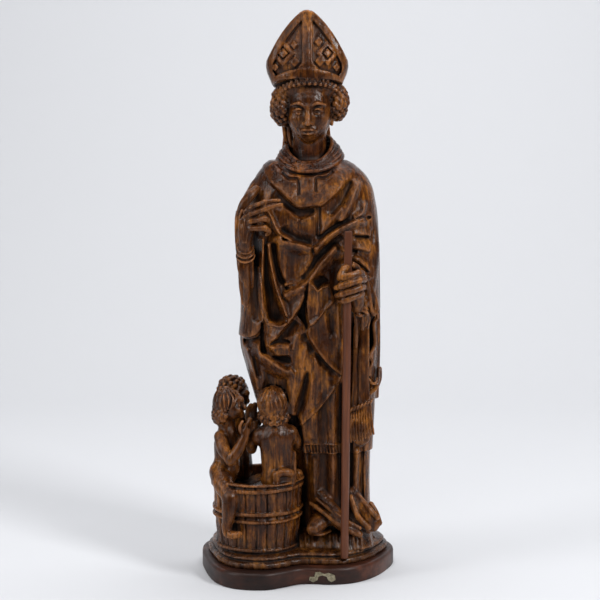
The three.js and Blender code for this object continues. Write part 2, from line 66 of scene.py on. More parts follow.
STAFF_TOP = (73.2, -68.5, 524.0)
MOST_TRIANGLES = 196000
# How much a rounded inside corner fills where two shapes cross
ROUNDING = 0.25
ROBE_INSET = 7.0
SLEEVE_SIDE_INSET = 13.0
ROBE_TOP = 621
BACK_FOLDS = 15
HEM_FRINGE_CUTS = 11
HEAD_BOW_DEGREES = 4
HEAD_TURN_DEGREES = -4
FRINGE_BEADS = 33
FRINGE_BEAD_DEGREES = 5
STAVES = 25
HOOPS = ((45.5, 52.5), (90, 96), (100.5, 107.5), (136, 143.5))
TUB_WALL = 5.5
TUB_FLOOR = 134
PLINTH_HALF_WIDTH = 147
PLINTH_HALF_DEPTH = 102
BASE_WIDTH_SHARE = 0.935
BASE_DEPTH_SHARE = 0.87
BASE_MIDDLE_Y = 40
GROUND_MIDDLE = (50, 12)
GROUND_HALF = (70, 55)

axes = [np.arange(LOW[i], HIGH[i] + VOXEL, VOXEL, dtype=np.float32) for i in range(3)]
field = np.full([len(a) for a in axes], FAR, dtype=np.float32)


def smooth(t):
    t = np.clip(t, 0.0, 1.0)
    return t * t * (3.0 - 2.0 * t)


def profile(rows, z):
    """A smooth curve through rows of (height, value)."""
    heights = np.array([r[0] for r in rows], dtype=float)
    values = np.array([r[1] for r in rows], dtype=float)
    slopes = np.gradient(values, heights)
    z = np.clip(z, heights[0], heights[-1])
    i = np.clip(np.searchsorted(heights, z) - 1, 0, len(rows) - 2)
    span = heights[i + 1] - heights[i]
    t = (z - heights[i]) / span
    return (
        (2 * t**3 - 3 * t**2 + 1) * values[i]
        + (t**3 - 2 * t**2 + t) * span * slopes[i]
        + (3 * t**2 - 2 * t**3) * values[i + 1]
        + (t**3 - t**2) * span * slopes[i + 1]
    )


def curve(points, per_span=6):
    """Points along a smooth curve through the given ones, with as many values as each has."""
    p = np.array(points, dtype=float)
    if len(p) < 3:
        t = np.linspace(0, 1, per_span + 1)[:, None]
        return p[0] * (1 - t) + p[-1] * t
    ends = np.vstack([2 * p[0] - p[1], p, 2 * p[-1] - p[-2]])
    rows = []
    for i in range(1, len(ends) - 2):
        a, b, c, d = ends[i - 1 : i + 3]
        for step in range(per_span):
            t = step / per_span
            bend = (2 * a - 5 * b + 4 * c - d) * t**2
            rows.append(0.5 * (2 * b + (c - a) * t + bend + (3 * b - a - 3 * c + d) * t**3))
    rows.append(p[-1])
    return np.array(rows)


# The field


def window(low, high, reach=REACH):
    """The part of the grid round a box: its slices and its x, y and z."""
    parts = []
    for i in range(3):
        first = int(np.clip((low[i] - reach - LOW[i]) / VOXEL, 0, len(axes[i]) - 1))
        last = int(np.clip((high[i] + reach - LOW[i]) / VOXEL + 2, first + 1, len(axes[i])))
        parts.append(slice(first, last))
    x = axes[0][parts[0]][:, None, None]
    y = axes[1][parts[1]][None, :, None]
    z = axes[2][parts[2]][None, None, :]
    return tuple(parts), x, y, z


def rounding(gap, soft):
    """What to add where two distances are less than soft apart, to round their corner."""
    if soft <= 0:
        return 0
    near = np.maximum(soft - np.abs(gap), 0) / soft
    return near * near * soft * ROUNDING


def merge(where, distance, soft):
    """Adds a shape to the field, rounding the inside corner by soft."""
    old = field[where]
    field[where] = np.minimum(old, distance) - rounding(old - distance, soft)


def carve(where, distance, soft):
    """Cuts a shape out of the field, rounding the edge by soft."""
    old = field[where]
    field[where] = np.maximum(old, -distance) + rounding(old + distance, soft)


def limb(points, radii, soft=3.0, flat=None, squash=1.0, cut=False, per_span=5):
    """A tapering round strand along a smooth curve. squash flattens it along one axis, 0 to 2."""
    places = curve(points, per_span)
    share = np.linspace(0, len(radii) - 1, len(places))
    sizes = np.interp(share, range(len(radii)), radii)
    big = max(radii)
    where, x, y, z = window(places.min(axis=0) - big, places.max(axis=0) + big)
    scale = [1.0, 1.0, 1.0]
    if flat is not None:
        scale[flat] = 1.0 / squash
    x, y, z = x * scale[0], y * scale[1], z * scale[2]
    places = places * np.array(scale)
    best = None
    for a, b, ra, rb in zip(places[:-1], places[1:], sizes[:-1], sizes[1:]):
        along = b - a
        length = max(float(along @ along), 1e-9)
        t = ((x - a[0]) * along[0] + (y - a[1]) * along[1] + (z - a[2]) * along[2]) / length
        t = np.clip(t, 0, 1)
        away = [place - a[i] - t * along[i] for i, place in enumerate((x, y, z))]
        d = np.sqrt(away[0] ** 2 + away[1] ** 2 + away[2] ** 2) - (ra + (rb - ra) * t)
        best = d if best is None else np.minimum(best, d)
    if flat is not None:
        best = best * squash
    (carve if cut else merge)(where, best.astype(np.float32), soft)


def ball(centre, size, soft=3.0, turn=(0, 0, 0), cut=False):
    """An ellipsoid with half sizes along its own axes, turned about x, y and z in degrees."""
    big = max(size)
    where, x, y, z = window(np.array(centre) - big, np.array(centre) + big)
    x, y, z = x - centre[0], y - centre[1], z - centre[2]
    rx, ry, rz = [math.radians(t) for t in turn]
    if rz:
        x, y = x * math.cos(rz) + y * math.sin(rz), -x * math.sin(rz) + y * math.cos(rz)
    if ry:
        x, z = x * math.cos(ry) - z * math.sin(ry), x * math.sin(ry) + z * math.cos(ry)
    if rx:
        y, z = y * math.cos(rx) + z * math.sin(rx), -y * math.sin(rx) + z * math.cos(rx)
    k0 = np.sqrt((x / size[0]) ** 2 + (y / size[1]) ** 2 + (z / size[2]) ** 2) + 1e-6
    k1 = np.sqrt((x / size[0] ** 2) ** 2 + (y / size[1] ** 2) ** 2 + (z / size[2] ** 2) ** 2)
    distance = k0 * (k0 - 1) / (k1 + 1e-6)
    (carve if cut else merge)(where, distance.astype(np.float32), soft)


def loop(centre, radius, thick, turn):
    """A closed ring round a leaning axis. turn leans it about x and y in degrees."""
    rx, ry = [math.radians(t) for t in turn]
    points = []
    for i in range(13):
        a = 2 * math.pi * i / 12
        p = Vector((radius * math.cos(a), radius * math.sin(a), 0))
        p = Vector((p.x, p.y * math.cos(rx) - p.z * math.sin(rx),
                    p.y * math.sin(rx) + p.z * math.cos(rx)))
        p = Vector((p.x * math.cos(ry) + p.z * math.sin(ry), p.y,
                    -p.x * math.sin(ry) + p.z * math.cos(ry)))
        points.append((centre[0] + p.x, centre[1] + p.y, centre[2] + p.z))
    limb(points, [thick, thick], soft=1.5, per_span=2)


def outline_distance(points, u, w):
    """Signed distance to a closed outline in a plane, less than nothing inside."""
    p = np.array(points, dtype=np.float32)
    nearest = np.full(np.broadcast(u, w).shape, 1e9, dtype=np.float32)
    inside = np.zeros(nearest.shape, dtype=bool)
    for a, b in zip(p, np.roll(p, -1, axis=0)):
        along = b - a
        length = max(float(along @ along), 1e-9)
        t = np.clip(((u - a[0]) * along[0] + (w - a[1]) * along[1]) / length, 0, 1)
        d = (u - a[0] - t * along[0]) ** 2 + (w - a[1] - t * along[1]) ** 2
        nearest = np.minimum(nearest, d)
        if a[1] != b[1]:
            crosses = ((a[1] > w) != (b[1] > w)) & (
                u < (b[0] - a[0]) * (w - a[1]) / (b[1] - a[1]) + a[0]
            )
            inside ^= crosses
    return np.where(inside, -1, 1) * np.sqrt(nearest)


# Relief on the front of the dress, painted on a plane seen from ahead

relief_x = axes[0][:, None]
relief_z = axes[2][None, :]
raised = np.zeros((len(axes[0]), len(axes[2])), dtype=np.float32)
sunk = np.zeros_like(raised)
level = np.zeros_like(raised)


def stroke(points):
    """Distance to a smooth line, which side of it, and how far along it, for each place."""
    line = curve(points, 5)
    shape = raised.shape
    nearest = np.full(shape, 1e9, dtype=np.float32)
    side = np.zeros(shape, dtype=np.float32)
    share = np.zeros(shape, dtype=np.float32)
    count = len(line) - 1
    for i, (a, b) in enumerate(zip(line[:-1], line[1:])):
        along = b - a
        length = max(float(along @ along), 1e-9)
        t = ((relief_x - a[0]) * along[0] + (relief_z - a[1]) * along[1]) / length
        t = np.clip(t, 0, 1)
        d = np.hypot(relief_x - a[0] - t * along[0], relief_z - a[1] - t * along[1])
        closer = d < nearest
        nearest = np.where(closer, d, nearest)
        cross = along[0] * (relief_z - a[1]) - along[1] * (relief_x - a[0])
        side = np.where(closer, np.sign(cross), side)
        share = np.where(closer, (i + t) / count, share)
    return nearest, side, share


def joined(relief, made):
    """Two reliefs as one, rounded where they meet."""
    return (relief**3 + made**3) ** (1 / 3)


def fold(points, height, left, right, sharp=1.5, fade=0.12, into=None):
    """A ridge along a line. left and right are its widths on each side of the way it runs."""
    d, side, share = stroke(points)
    width = np.where(side > 0, left, right)
    d = np.sqrt(d * d + 0.8) - 0.9
    shape = np.clip(1 - np.maximum(d, 0) / width, 0, 1) ** sharp
    ends = smooth(share / fade) * smooth((1 - share) / fade) if fade else 1.0
    made = height * shape * ends
    global raised, sunk
    if into == "sunk":
        sunk = joined(sunk, made)
    else:
        raised = joined(raised, made)


def hollow(points, depth, left, right, fade=0.1):
    """A groove along a line, with widths as a fold has them."""
    fold(points, depth, left, right, 1.0, fade, into="sunk")


def how_far_in(points, round_it=True):
    """How far each place is inside an outline, less than nothing outside."""
    outline = curve(list(points) + [points[0]], 4) if round_it else points
    return -outline_distance(outline, relief_x, relief_z)


def patch(points, height, edge=2.0, round_it=True):
    """Raises or sinks everything inside an outline, with a steep edge."""
    global level
    level = level + height * smooth(how_far_in(points, round_it) / edge + 0.5)


def dig(points, depth, edge):
    """A pocket inside an outline."""
    global sunk
    sunk = joined(sunk, depth * smooth(how_far_in(points) / edge))


def paint_layers():
    # Below the chasuble's hem the robe lies deeper
    chasuble = [(-110, 660), (140, 660), (140, 398), (84, 402), (70, 392), (68, 350), (65, 309),
                (62, 301), (50, 282), (36, 262), (14, 241), (4, 230), (-12, 212), (-35, 206),
                (-60, 222), (-110, 226)]
    inside = how_far_in(chasuble, round_it=False)
    global level
    level = level - ROBE_INSET * (1 - smooth(inside / 2.5 + 0.5))
    # The side under the left sleeve, as far as the zigzag edge of the hanging cloth
    patch([(70, 398), (80, 404), (93, 452), (98, 440), (103, 422), (109, 406), (116, 398),
           (117, 391), (111, 382), (113, 366), (113, 350), (105, 333), (110, 325), (105, 310),
           (108, 290), (104, 262), (84, 255), (70, 262)], -12, edge=3.0, round_it=False)
    # The alb under the dalmatic's fringe, and the gap beside the tub
    patch([(-60, 187), (140, 187), (140, 20), (-60, 20)], -4, round_it=False)
    patch([(-60, 250), (-3, 245), (5, 215), (9, 187), (12, 150), (15, 110), (20, 98), (15, 40),
           (-60, 40)], -18, edge=7.0)
    # The right front of the chasuble lies over the left, in two layers
    patch([(17, 452), (15, 435), (13, 420), (14, 400), (17, 384), (15, 378), (16, 370), (20, 362),
           (25, 354), (30, 346), (36, 338), (42, 330), (50, 322), (58, 315), (66, 309), (78, 312),
           (78, 400), (66, 436), (53, 428), (46, 446), (37, 443), (33, 441), (29, 438),
           (24, 444)], 6.5, edge=2.0, round_it=False)
    patch([(17, 450), (13, 420), (14, 400), (17, 384), (25, 390), (32, 398), (40, 408), (48, 416),
           (54, 424), (46, 446), (37, 443), (29, 438), (24, 444)], 3.5, edge=1.8, round_it=False)
    # The pointed flap under the lap, and the panel its edge runs down into
    patch([(-30, 431), (-25, 420), (-20, 408), (-15, 396), (-13, 390), (-5, 400), (0, 408),
           (4, 415), (8, 425), (13, 442), (5, 443), (-5, 438), (-15, 433), (-23, 427)], 3,
          edge=2.0, round_it=False)
    patch([(-46, 388), (-28, 384), (-13, 390), (-17, 386), (-22, 379), (-27, 372), (-32, 366),
           (-38, 359), (-42, 351), (-46, 351)], 4.5, edge=1.8, round_it=False)
    patch([(-41, 352), (-12, 354), (-11, 340), (-32, 339)], 3, edge=2.0, round_it=False)
    # The fold that falls from his right sleeve
    patch([(-110, 361), (-80, 361), (-70, 363), (-62, 367), (-57, 372), (-53, 380), (-50, 390),
           (-49, 400), (-51, 440), (-56, 470), (-110, 470)], 5.0, edge=2.0, round_it=False)
    # The yoke above the first fold
    patch([(-60, 640), (-48, 603), (-35, 591), (-25, 583), (-15, 573), (-8, 567), (-2, 562),
           (5, 560), (15, 561), (30, 562), (40, 566), (50, 574), (60, 584), (68, 591), (84, 604),
           (90, 640)], 2.5, edge=3.0, round_it=False)


def paint_folds():
    # Left of the way a line runs is above it when it runs to the viewer's right
    fold([(-50, 604), (-35, 590), (-25, 582), (-15, 572), (-8, 566), (-2, 561), (5, 559),
          (15, 560), (28, 561), (33, 561), (40, 565), (50, 573), (60, 583), (68, 590), (82, 602)],
         9, 26, 4.5, sharp=1.3)
    fold([(-50, 604), (-35, 590), (-15, 572), (-2, 561), (5, 559), (28, 561), (33, 561),
          (40, 565), (60, 583), (82, 602)], 6, 2.2, 2.2, sharp=1.3)
    hollow([(-34, 579), (-18, 565), (-9, 557), (2, 551), (14, 551), (28, 553)], 7, 5, 14)
    fold([(-26, 560), (-12, 550), (-5, 543), (3, 537)], 5, 5, 12)
    fold([(3, 537), (12, 540), (26, 547)], 3.5, 4, 8)
    fold([(90, 596), (84, 580), (76, 560), (68, 546), (60, 533)], 9, 7, 10, sharp=1.0)
    fold([(66, 558), (55, 545), (44, 533), (30, 514)], 6, 8, 8)
    hollow([(78, 596), (70, 578), (60, 560), (46, 545)], 5, 4, 9)
    fold([(98, 566), (96, 550), (88, 543), (80, 539)], 6, 5, 8)
    # The girdle fold: a roll from his right hand, and a crest up to his left arm
    fold([(-48, 562), (-42, 550), (-36, 538), (-31, 527), (-24, 518), (-14, 512), (-2, 507)],
         10, 5, 5, sharp=0.8)
    hollow([(-26, 526), (-18, 519.5), (-10, 515), (0, 510), (10, 508), (22, 505)], 7, 12, 3)
    fold([(-29, 519), (-24, 511), (-20, 508), (-10, 506), (0, 504), (8, 502), (15, 499),
          (23, 498)], 11, 5, 20, sharp=1.3, fade=0.08)
    fold([(20, 497), (29, 500), (34, 506), (42, 514), (50, 520), (58, 525), (72, 532), (88, 538),
          (104, 540)], 14, 4, 15, sharp=1.2, fade=0.08)
    hollow([(27, 511), (35, 516), (42, 521), (50, 526), (60, 532), (76, 540)], 6, 3.5, 3)
    hollow([(31, 492), (42, 499), (53, 508), (66, 516)], 6, 5, 5)
    dig([(80, 541), (95, 544), (107, 542), (107, 537), (95, 535), (86, 537)], 5, edge=3)
    dig([(-22, 515), (-12, 510.5), (-18, 509), (-22, 510.5)], 5, edge=1.5)
    # The lap below it, and the bold fold that bounds it
    dig([(-19, 500), (5, 497), (20, 492), (14, 475), (8, 462), (4, 452), (-17, 448)], 4, edge=14)
    fold([(-20, 505), (-19.5, 480), (-18, 450)], 3, 7, 10)
    fold([(23, 494), (17, 481), (12, 470)], 2.5, 5, 6)
    fold([(-20, 443), (-10, 445.5), (3, 445.5)], 4, 5, 3)
    fold([(60, 505), (48, 492), (40, 483), (30, 472), (20, 459), (12, 449), (5, 443), (-5, 438),
          (-10, 437), (-15, 433), (-23, 427)], 14, 15, 6, sharp=1.1, fade=0.06)
    hollow([(47, 503), (36, 493), (29, 483), (22, 469), (14, 457), (6, 450)], 8, 5, 6)
    dig([(-19, 441), (-8, 441), (-12, 436), (-18, 435)], 7, edge=2)
    fold([(56, 504), (62, 498), (68, 492)], 5, 3, 4)
    # The two strands from his right hand, with a deep pocket between
    hollow([(-33, 508), (-34, 490), (-31, 470), (-26, 455), (-21, 443)], 10, 5, 6)
    fold([(-43, 506), (-41.5, 498), (-38, 475), (-34, 455), (-30, 438), (-25, 424), (-20, 411),
          (-14, 393)], 12, 7, 5, fade=0.06)
    fold([(-50, 515), (-50, 495), (-51, 470), (-51, 440), (-49, 415), (-46, 398)], 12, 4, 10,
         fade=0.06)
    dig([(-46, 512), (-45, 490), (-43, 470), (-40, 450), (-36, 440), (-31, 430), (-27, 419),
         (-22, 407), (-17, 395), (-19, 389), (-28, 387), (-38, 389), (-43, 394), (-45, 410),
         (-47, 440)], 9, edge=7)
    hollow([(-63, 500), (-62, 470), (-62, 440), (-59, 405), (-56, 385)], 5, 6, 10)
    fold([(-47, 404), (-45, 393), (-40, 388), (-35, 387), (-28, 385), (-22, 386), (-15, 390)],
         9, 3, 8, fade=0.06)
    # The flap's edge, which runs on as a crest to his right knee
    fold([(13, 442), (8, 425), (4, 415), (0, 408), (-5, 400), (-13, 390), (-22, 379), (-32, 366),
          (-40, 356)], 8, 3, 14, sharp=1.2)
    hollow([(-2, 392), (-9, 383), (-18, 372), (-28, 361)], 7, 10, 3)
    dig([(-54, 387), (-50, 387), (-46.5, 352), (-45, 341), (-55, 342), (-56, 360)], 9, edge=3)
    fold([(-43, 352), (-35, 353), (-28, 355), (-20, 355), (-11, 354)], 5, 2.5, 10, fade=0.06)
    dig([(-38, 355), (-33, 363), (-14, 363), (-10, 357), (-20, 357), (-30, 357)], 6, edge=2)
    dig([(-40, 340), (-34, 338), (-12, 338), (-9, 328), (-20, 326), (-34, 332)], 9, edge=3)
    fold([(-58, 362), (-57, 346), (-52, 339), (-45, 335), (-38, 330), (-30, 325), (-22, 320),
          (-14, 317), (-6, 321)], 11, 5, 14, sharp=1.0, fade=0.06)
    dig([(-54, 318), (-42, 317), (-28, 312), (-14, 308), (-11, 298), (-12, 270), (-30, 262),
         (-50, 270)], 9, edge=12)
    hollow([(-82, 355), (-70, 357), (-62, 360), (-55, 366), (-51, 376)], 6, 2, 10)
    fold([(-78, 352), (-71, 335), (-66, 318), (-61, 298), (-58, 276)], 5, 8, 5)
    hollow([(-62, 350), (-62, 325), (-57, 300)], 4, 6, 4)
    fold([(-8, 322), (-5, 308), (-6, 290), (-8, 250)], 4.5, 7, 12, fade=0.25)
    dig([(3, 300), (7, 312), (12, 318), (18, 317.5), (21.5, 309), (20, 288), (16, 268), (9, 248),
         (2, 232), (-8, 222), (-9, 240), (-6, 262), (-1, 282)], 10, edge=10)
    fold([(14, 368), (12, 348), (8, 332), (4, 318)], 4, 5, 6)
    fold([(1, 374), (-4, 360), (-8, 346)], 3.5, 5, 5)
    fold([(23, 352), (27, 325), (29, 290), (28, 258)], 4, 10, 9)
    # The split down the middle and the crests of the overlapping side
    dig([(17, 456), (13, 440), (9, 425), (3, 410), (-2, 400), (4, 391), (10, 383), (14, 378),
         (16, 384), (13, 400), (13, 420), (15, 436)], 12, edge=4)
    hollow([(10, 374), (12, 366), (17, 356), (23, 347), (31, 338), (40, 329), (50, 319),
            (60, 311)], 6, 2, 9)
    fold([(14, 380), (16, 369), (25, 353), (36, 337), (50, 321), (66, 308)], 3, 8, 2, sharp=1.2)
    fold([(64, 309), (62, 301), (50, 282), (36, 262), (14, 241), (2, 229)], 3, 1.5, 6, sharp=1.2)
    hollow([(56, 300), (44, 283), (30, 266), (13, 252)], 1.5, 2, 2)
    dig([(20, 453), (24, 446), (29, 441), (33, 443), (38, 446), (46, 449), (40, 457), (30, 459)],
        5, edge=3)
    fold([(19, 452), (24, 444.5), (29, 438.5), (33, 441), (37, 443.5), (47, 447)], 8, 2, 5)
    fold([(29, 440), (29.5, 420), (27, 398)], 5, 8, 6)
    fold([(16, 383), (25, 390), (32, 398), (40, 408), (48, 416), (54, 423)], 5, 7, 2.5)
    hollow([(47, 412), (48, 388), (54, 362)], 6, 10, 6, fade=0.3)
    hollow([(64, 420), (66, 380), (67, 322)], 4, 5, 8, fade=0.3)
    fold([(58, 420), (60, 390), (62, 350)], 4, 5, 5)
    # The dark behind the fist
    dig([(47, 474), (50, 485), (58, 484), (70, 486), (86, 482), (86, 466), (66, 462), (58, 440),
         (56, 428), (50, 432), (47, 446), (46, 462)], 7, edge=12)
    # Gathers at the left elbow
    fold([(78, 520), (90, 518), (100, 516.5), (108, 514)], 7, 12, 4, sharp=1.2)
    hollow([(82, 514), (92, 513), (105, 512)], 4, 3, 4)
    fold([(78, 499), (90, 497), (100, 494), (111, 490)], 8, 14, 4, sharp=1.2, fade=0.25)
    hollow([(76, 494), (88, 491), (97, 486), (105, 477)], 5, 3, 6)
    fold([(85, 492), (92, 489), (98, 485), (104, 477)], 6, 4, 6)
    fold([(79, 484), (88, 480), (95, 474), (103, 466), (110, 455)], 7, 9, 4, sharp=1.2, fade=0.25)
    hollow([(79, 476), (88, 472), (97, 465), (107, 452)], 5, 3, 5)
    fold([(82, 470), (92, 467), (98, 460), (104, 455), (110, 448)], 8, 5, 8)
    hollow([(110, 528), (110, 490), (108, 460), (109, 430), (114, 404)], 4.5, 2, 3)
    # The shadow under the neck cloth
    hollow([(-34, 623), (-26, 615), (-16, 609), (-6, 606), (4, 604.5), (14, 604), (26, 605),
            (38, 607.5), (50, 613), (62, 620)], 5, 6, 3)
    # The sewn bands on the breast
    for line in ([(-23, 607), (-14, 598.5), (-8, 597.5), (0, 597), (2, 590), (2, 572)],
                 [(52, 609), (43, 600), (36, 598.5), (27, 597.5), (27, 576)],
                 [(28, 558), (28, 514)], [(32, 558), (32, 516)]):
        fold(line, 4.4, 2.6, 2.6, fade=0.04, into="sunk")


def paint_robe():
    for x in (22, 76):
        fold([(x, 320), (x - 1, 250), (x - 1, 205)], 4, 12, 12)
    fold([(54, 304), (53, 240), (53, 100)], 6, 5, 9)
    hollow([(63, 300), (62, 240), (63, 100)], 6, 4, 4)
    hollow([(36, 290), (38, 184), (40, 95)], 5, 8, 8)
    fold([(25, 186), (25, 140), (27, 104)], 5, 7, 6)
    hollow([(16, 200), (15, 150), (18, 104)], 5, 3, 4)
    fold([(71, 200), (70, 140), (72, 96)], 5, 5, 6)
    hollow([(79, 250), (79, 170), (80, 90)], 7, 4, 4)
    fold([(89, 200), (88, 140), (90, 100)], 6, 6, 6)
    hollow([(97, 200), (96, 150), (97, 100)], 5, 3, 4)
    for x in (75, 86):
        fold([(x, 396), (x + 1, 330), (x + 1, 262)], 6, 2.5, 2.5, sharp=1.2)
    hollow([(82, 396), (83, 330), (82, 262)], 6, 2.5, 2.5)
    # The fringe along the dalmatic's hem
    patch([(2, 203), (70, 203), (70, 188), (2, 188)], 2.4, edge=1.5, round_it=False)
    for i in range(HEM_FRINGE_CUTS):
        x = 12 + i * 4.7
        fold([(x, 202), (x + 2.2, 188)], 6, 2.5, 2.5, fade=0.08, into="sunk")


paint_layers()
paint_folds()
paint_robe()
relief = level + raised - sunk

# The dressed body, from its right, left, front and back outlines

BODY_RIGHT = [(46, -20), (110, -22), (185, -38), (230, -54), (274, -65), (311, -75), (344, -83),
              (395, -80), (468, -81), (540, -78), (562, -75), (585, -67), (603, -58), (616, -46),
              (626, -30), (632, -14)]
BODY_LEFT = [(46, 124), (110, 119), (185, 120), (262, 123), (344, 124.5), (428, 121.5), (503, 119),
             (560, 114), (585, 108), (600, 99), (612, 86), (622, 68), (632, 46)]
BODY_FRONT = [(46, -22), (110, -25), (185, -35), (250, -43), (311, -48), (429, -51), (503, -54),
              (562, -51), (590, -45), (612, -36), (632, -20)]
BODY_BACK = [(46, 66), (185, 62), (344, 60), (503, 61), (562, 57), (600, 49), (632, 30)]
HEM_ROUND = [(-180, 212), (-130, 232), (-90, 262), (-60, 230), (0, 224), (60, 262), (100, 262),
             (140, 238), (180, 212)]


def body():
    where, x, y, z = window((-100, -62, 40), (136, 76, 640), 14)
    height = z[0, 0]
    right = profile(BODY_RIGHT, height)[None, None, :]
    left = profile(BODY_LEFT, height)[None, None, :]
    front = profile(BODY_FRONT, height)[None, None, :]
    back = profile(BODY_BACK, height)[None, None, :]
    middle = (right + left) / 2
    across = (left - right) / 2
    depth = np.where(y < BODY_Y, BODY_Y - front, back - BODY_Y)
    u = np.abs(x - middle) / across
    w = np.abs(y - BODY_Y) / depth
    q = (u**ROBE_POWER + w**ROBE_POWER + 1e-9) ** (1 / ROBE_POWER)
    steep = q ** (1 - ROBE_POWER) * np.sqrt(
        (u ** (ROBE_POWER - 1) / across) ** 2 + (w ** (ROBE_POWER - 1) / depth) ** 2
    )
    distance = (q - 1) / np.maximum(steep, 0.008)
    degrees = np.degrees(np.arctan2((x - middle) / across, -(y - BODY_Y) / depth))
    hem = profile(HEM_ROUND, degrees)
    inset = np.where(degrees > 0, SLEEVE_SIDE_INSET, ROBE_INSET + 1)
    inset = np.where(np.abs(degrees) > 130, ROBE_INSET + 1, inset)
    below = 1 - smooth((z - hem) / 2.5 + 0.5)
    hang = smooth((600 - z) / 330)
    a = np.radians(degrees)
    flute = np.cos(BACK_FOLDS * a + 1.3 * np.sin(2 * a) + z / 160)
    flute = 3.2 * (1 - 2 * np.abs(flute) ** 0.8) * hang * smooth((np.abs(degrees) - 62) / 20)
    sway = 2.5 * np.cos(3 * a + z / 70) * smooth((np.abs(degrees) - 70) / 30)
    around = -inset * below - flute + sway
    ahead = smooth((24 - y) / 16)
    flat = relief[where[0], where[2]][:, None, :]
    distance = distance - (flat * ahead + around * (1 - ahead))
    distance = np.maximum(distance, z - ROBE_TOP)
    merge(where, distance.astype(np.float32), 0)


body()


# Head and hair


def on_face(x, y, z):
    """A place on the head, which bows a little and turns a little to its right."""
    bow = math.radians(HEAD_BOW_DEGREES)
    turn = math.radians(HEAD_TURN_DEGREES)
    y, z = y * math.cos(bow) - z * math.sin(bow), y * math.sin(bow) + z * math.cos(bow)
    x, y = x * math.cos(turn) - y * math.sin(turn), x * math.sin(turn) + y * math.cos(turn)
    return (FACE[0] + x, FACE[1] + y, FACE[2] + z)


def face_limb(points, radii, **more):
    limb([on_face(*p) for p in points], radii, **more)


def face():
    ball(on_face(0, 11, 12), (34, 38, 36))
    ball(on_face(0, -1, 13), (31, 34, 24), soft=6)
    ball(on_face(0, -1, -4), (33.5, 34, 34), soft=6)
    ball(on_face(0, -4, -22), (27, 28, 24), soft=8)
    ball(on_face(0, -22, -38), (10, 10, 8), soft=8)
    limb([(HEAD_X, 10, 606), (HEAD_X, 6, 640), (HEAD_X, 4, 672)], [27, 25, 24], soft=7)
    for side in (-1, 1):
        ball(on_face(17 * side, -21.5, -13), (9.5, 8.5, 10), soft=7)
        ball(on_face(13.5 * side, -37.5, 0), (9, 8, 7), soft=4, cut=True)
        face_limb([(4 * side, -35.5, 6), (13 * side, -35.5, 11.5), (25 * side, -25, 8)],
                  [1.6, 2.8, 1.4], soft=3.5)
        ball(on_face(13.5 * side, -26.4, 0.5), (8.4, 6.8, 6.2), soft=1)
        face_limb([(5 * side, -30.5, -1), (13.5 * side, -34.6, 3.2), (22.5 * side, -27.5, -0.5)],
                  [0.9, 1.8, 1.0], soft=0.8)
        face_limb([(6 * side, -31, -2.5), (13.5 * side, -33.2, -4.6), (21.5 * side, -27.5, -2.5)],
                  [0.8, 1.4, 0.8], soft=0.8)
        face_limb([(7 * side, -32.5, -1.4), (13.5 * side, -35, -1.2), (20.5 * side, -29, -1.4)],
                  [0.5, 0.9, 0.5], soft=0.5, cut=True)
    face_limb([(0, -34, 8), (0, -38.5, -5), (0, -43.5, -15)], [2.8, 3.2, 4.0], soft=3.5)
    ball(on_face(0, -44, -17), (4.4, 4.4, 3.8), soft=1.5)
    for side in (-1, 1):
        ball(on_face(5.4 * side, -38, -17.5), (3.4, 4.2, 3.0), soft=1.5)
        ball(on_face(2.8 * side, -42, -21), (1.5, 2.4, 1.3), soft=0.8, cut=True)
    ball(on_face(0, -31, -29), (13, 7, 8), soft=6)
    face_limb([(-12, -33.5, -28.8), (-4, -39.6, -26.4), (0, -39, -27.4), (4, -39.6, -26.4),
               (12, -33.5, -28.8)], [0.9, 2.3, 2.0, 2.3, 0.9], soft=1.2)
    face_limb([(-9, -35, -31.5), (0, -39.4, -32.8), (9, -35, -31.5)], [1.2, 2.8, 1.2], soft=1.2)
    face_limb([(-12.5, -36, -29.4), (0, -42.4, -29.8), (12.5, -36, -29.4)], [0.9, 1.5, 0.9],
              soft=0.6, cut=True)
    face_limb([(-7, -38, -37), (0, -39.5, -36.4), (7, -38, -37)], [1.6, 2.4, 1.6], soft=3,
              cut=True)


def curls(centre, size, count, radius, keep):
    """Small snail curls spread evenly over an ellipsoid, on the side that keep allows."""
    golden = math.pi * (3 - math.sqrt(5))
    for i in range(count):
        rise = 1 - 2 * (i + 0.5) / count
        ring = math.sqrt(1 - rise * rise)
        a = i * golden
        way = np.array([ring * math.cos(a), ring * math.sin(a), rise])
        if not keep(way):
            continue
        place = np.array(centre) + way * np.array(size)
        r = radius * (0.82 + 0.36 * ((i * 7) % 5) / 4)
        ball(place, (r, r, r), soft=0.4)
        ball(place + way * r, (r * 0.32, r * 0.32, r * 0.32), soft=0.5, cut=True)


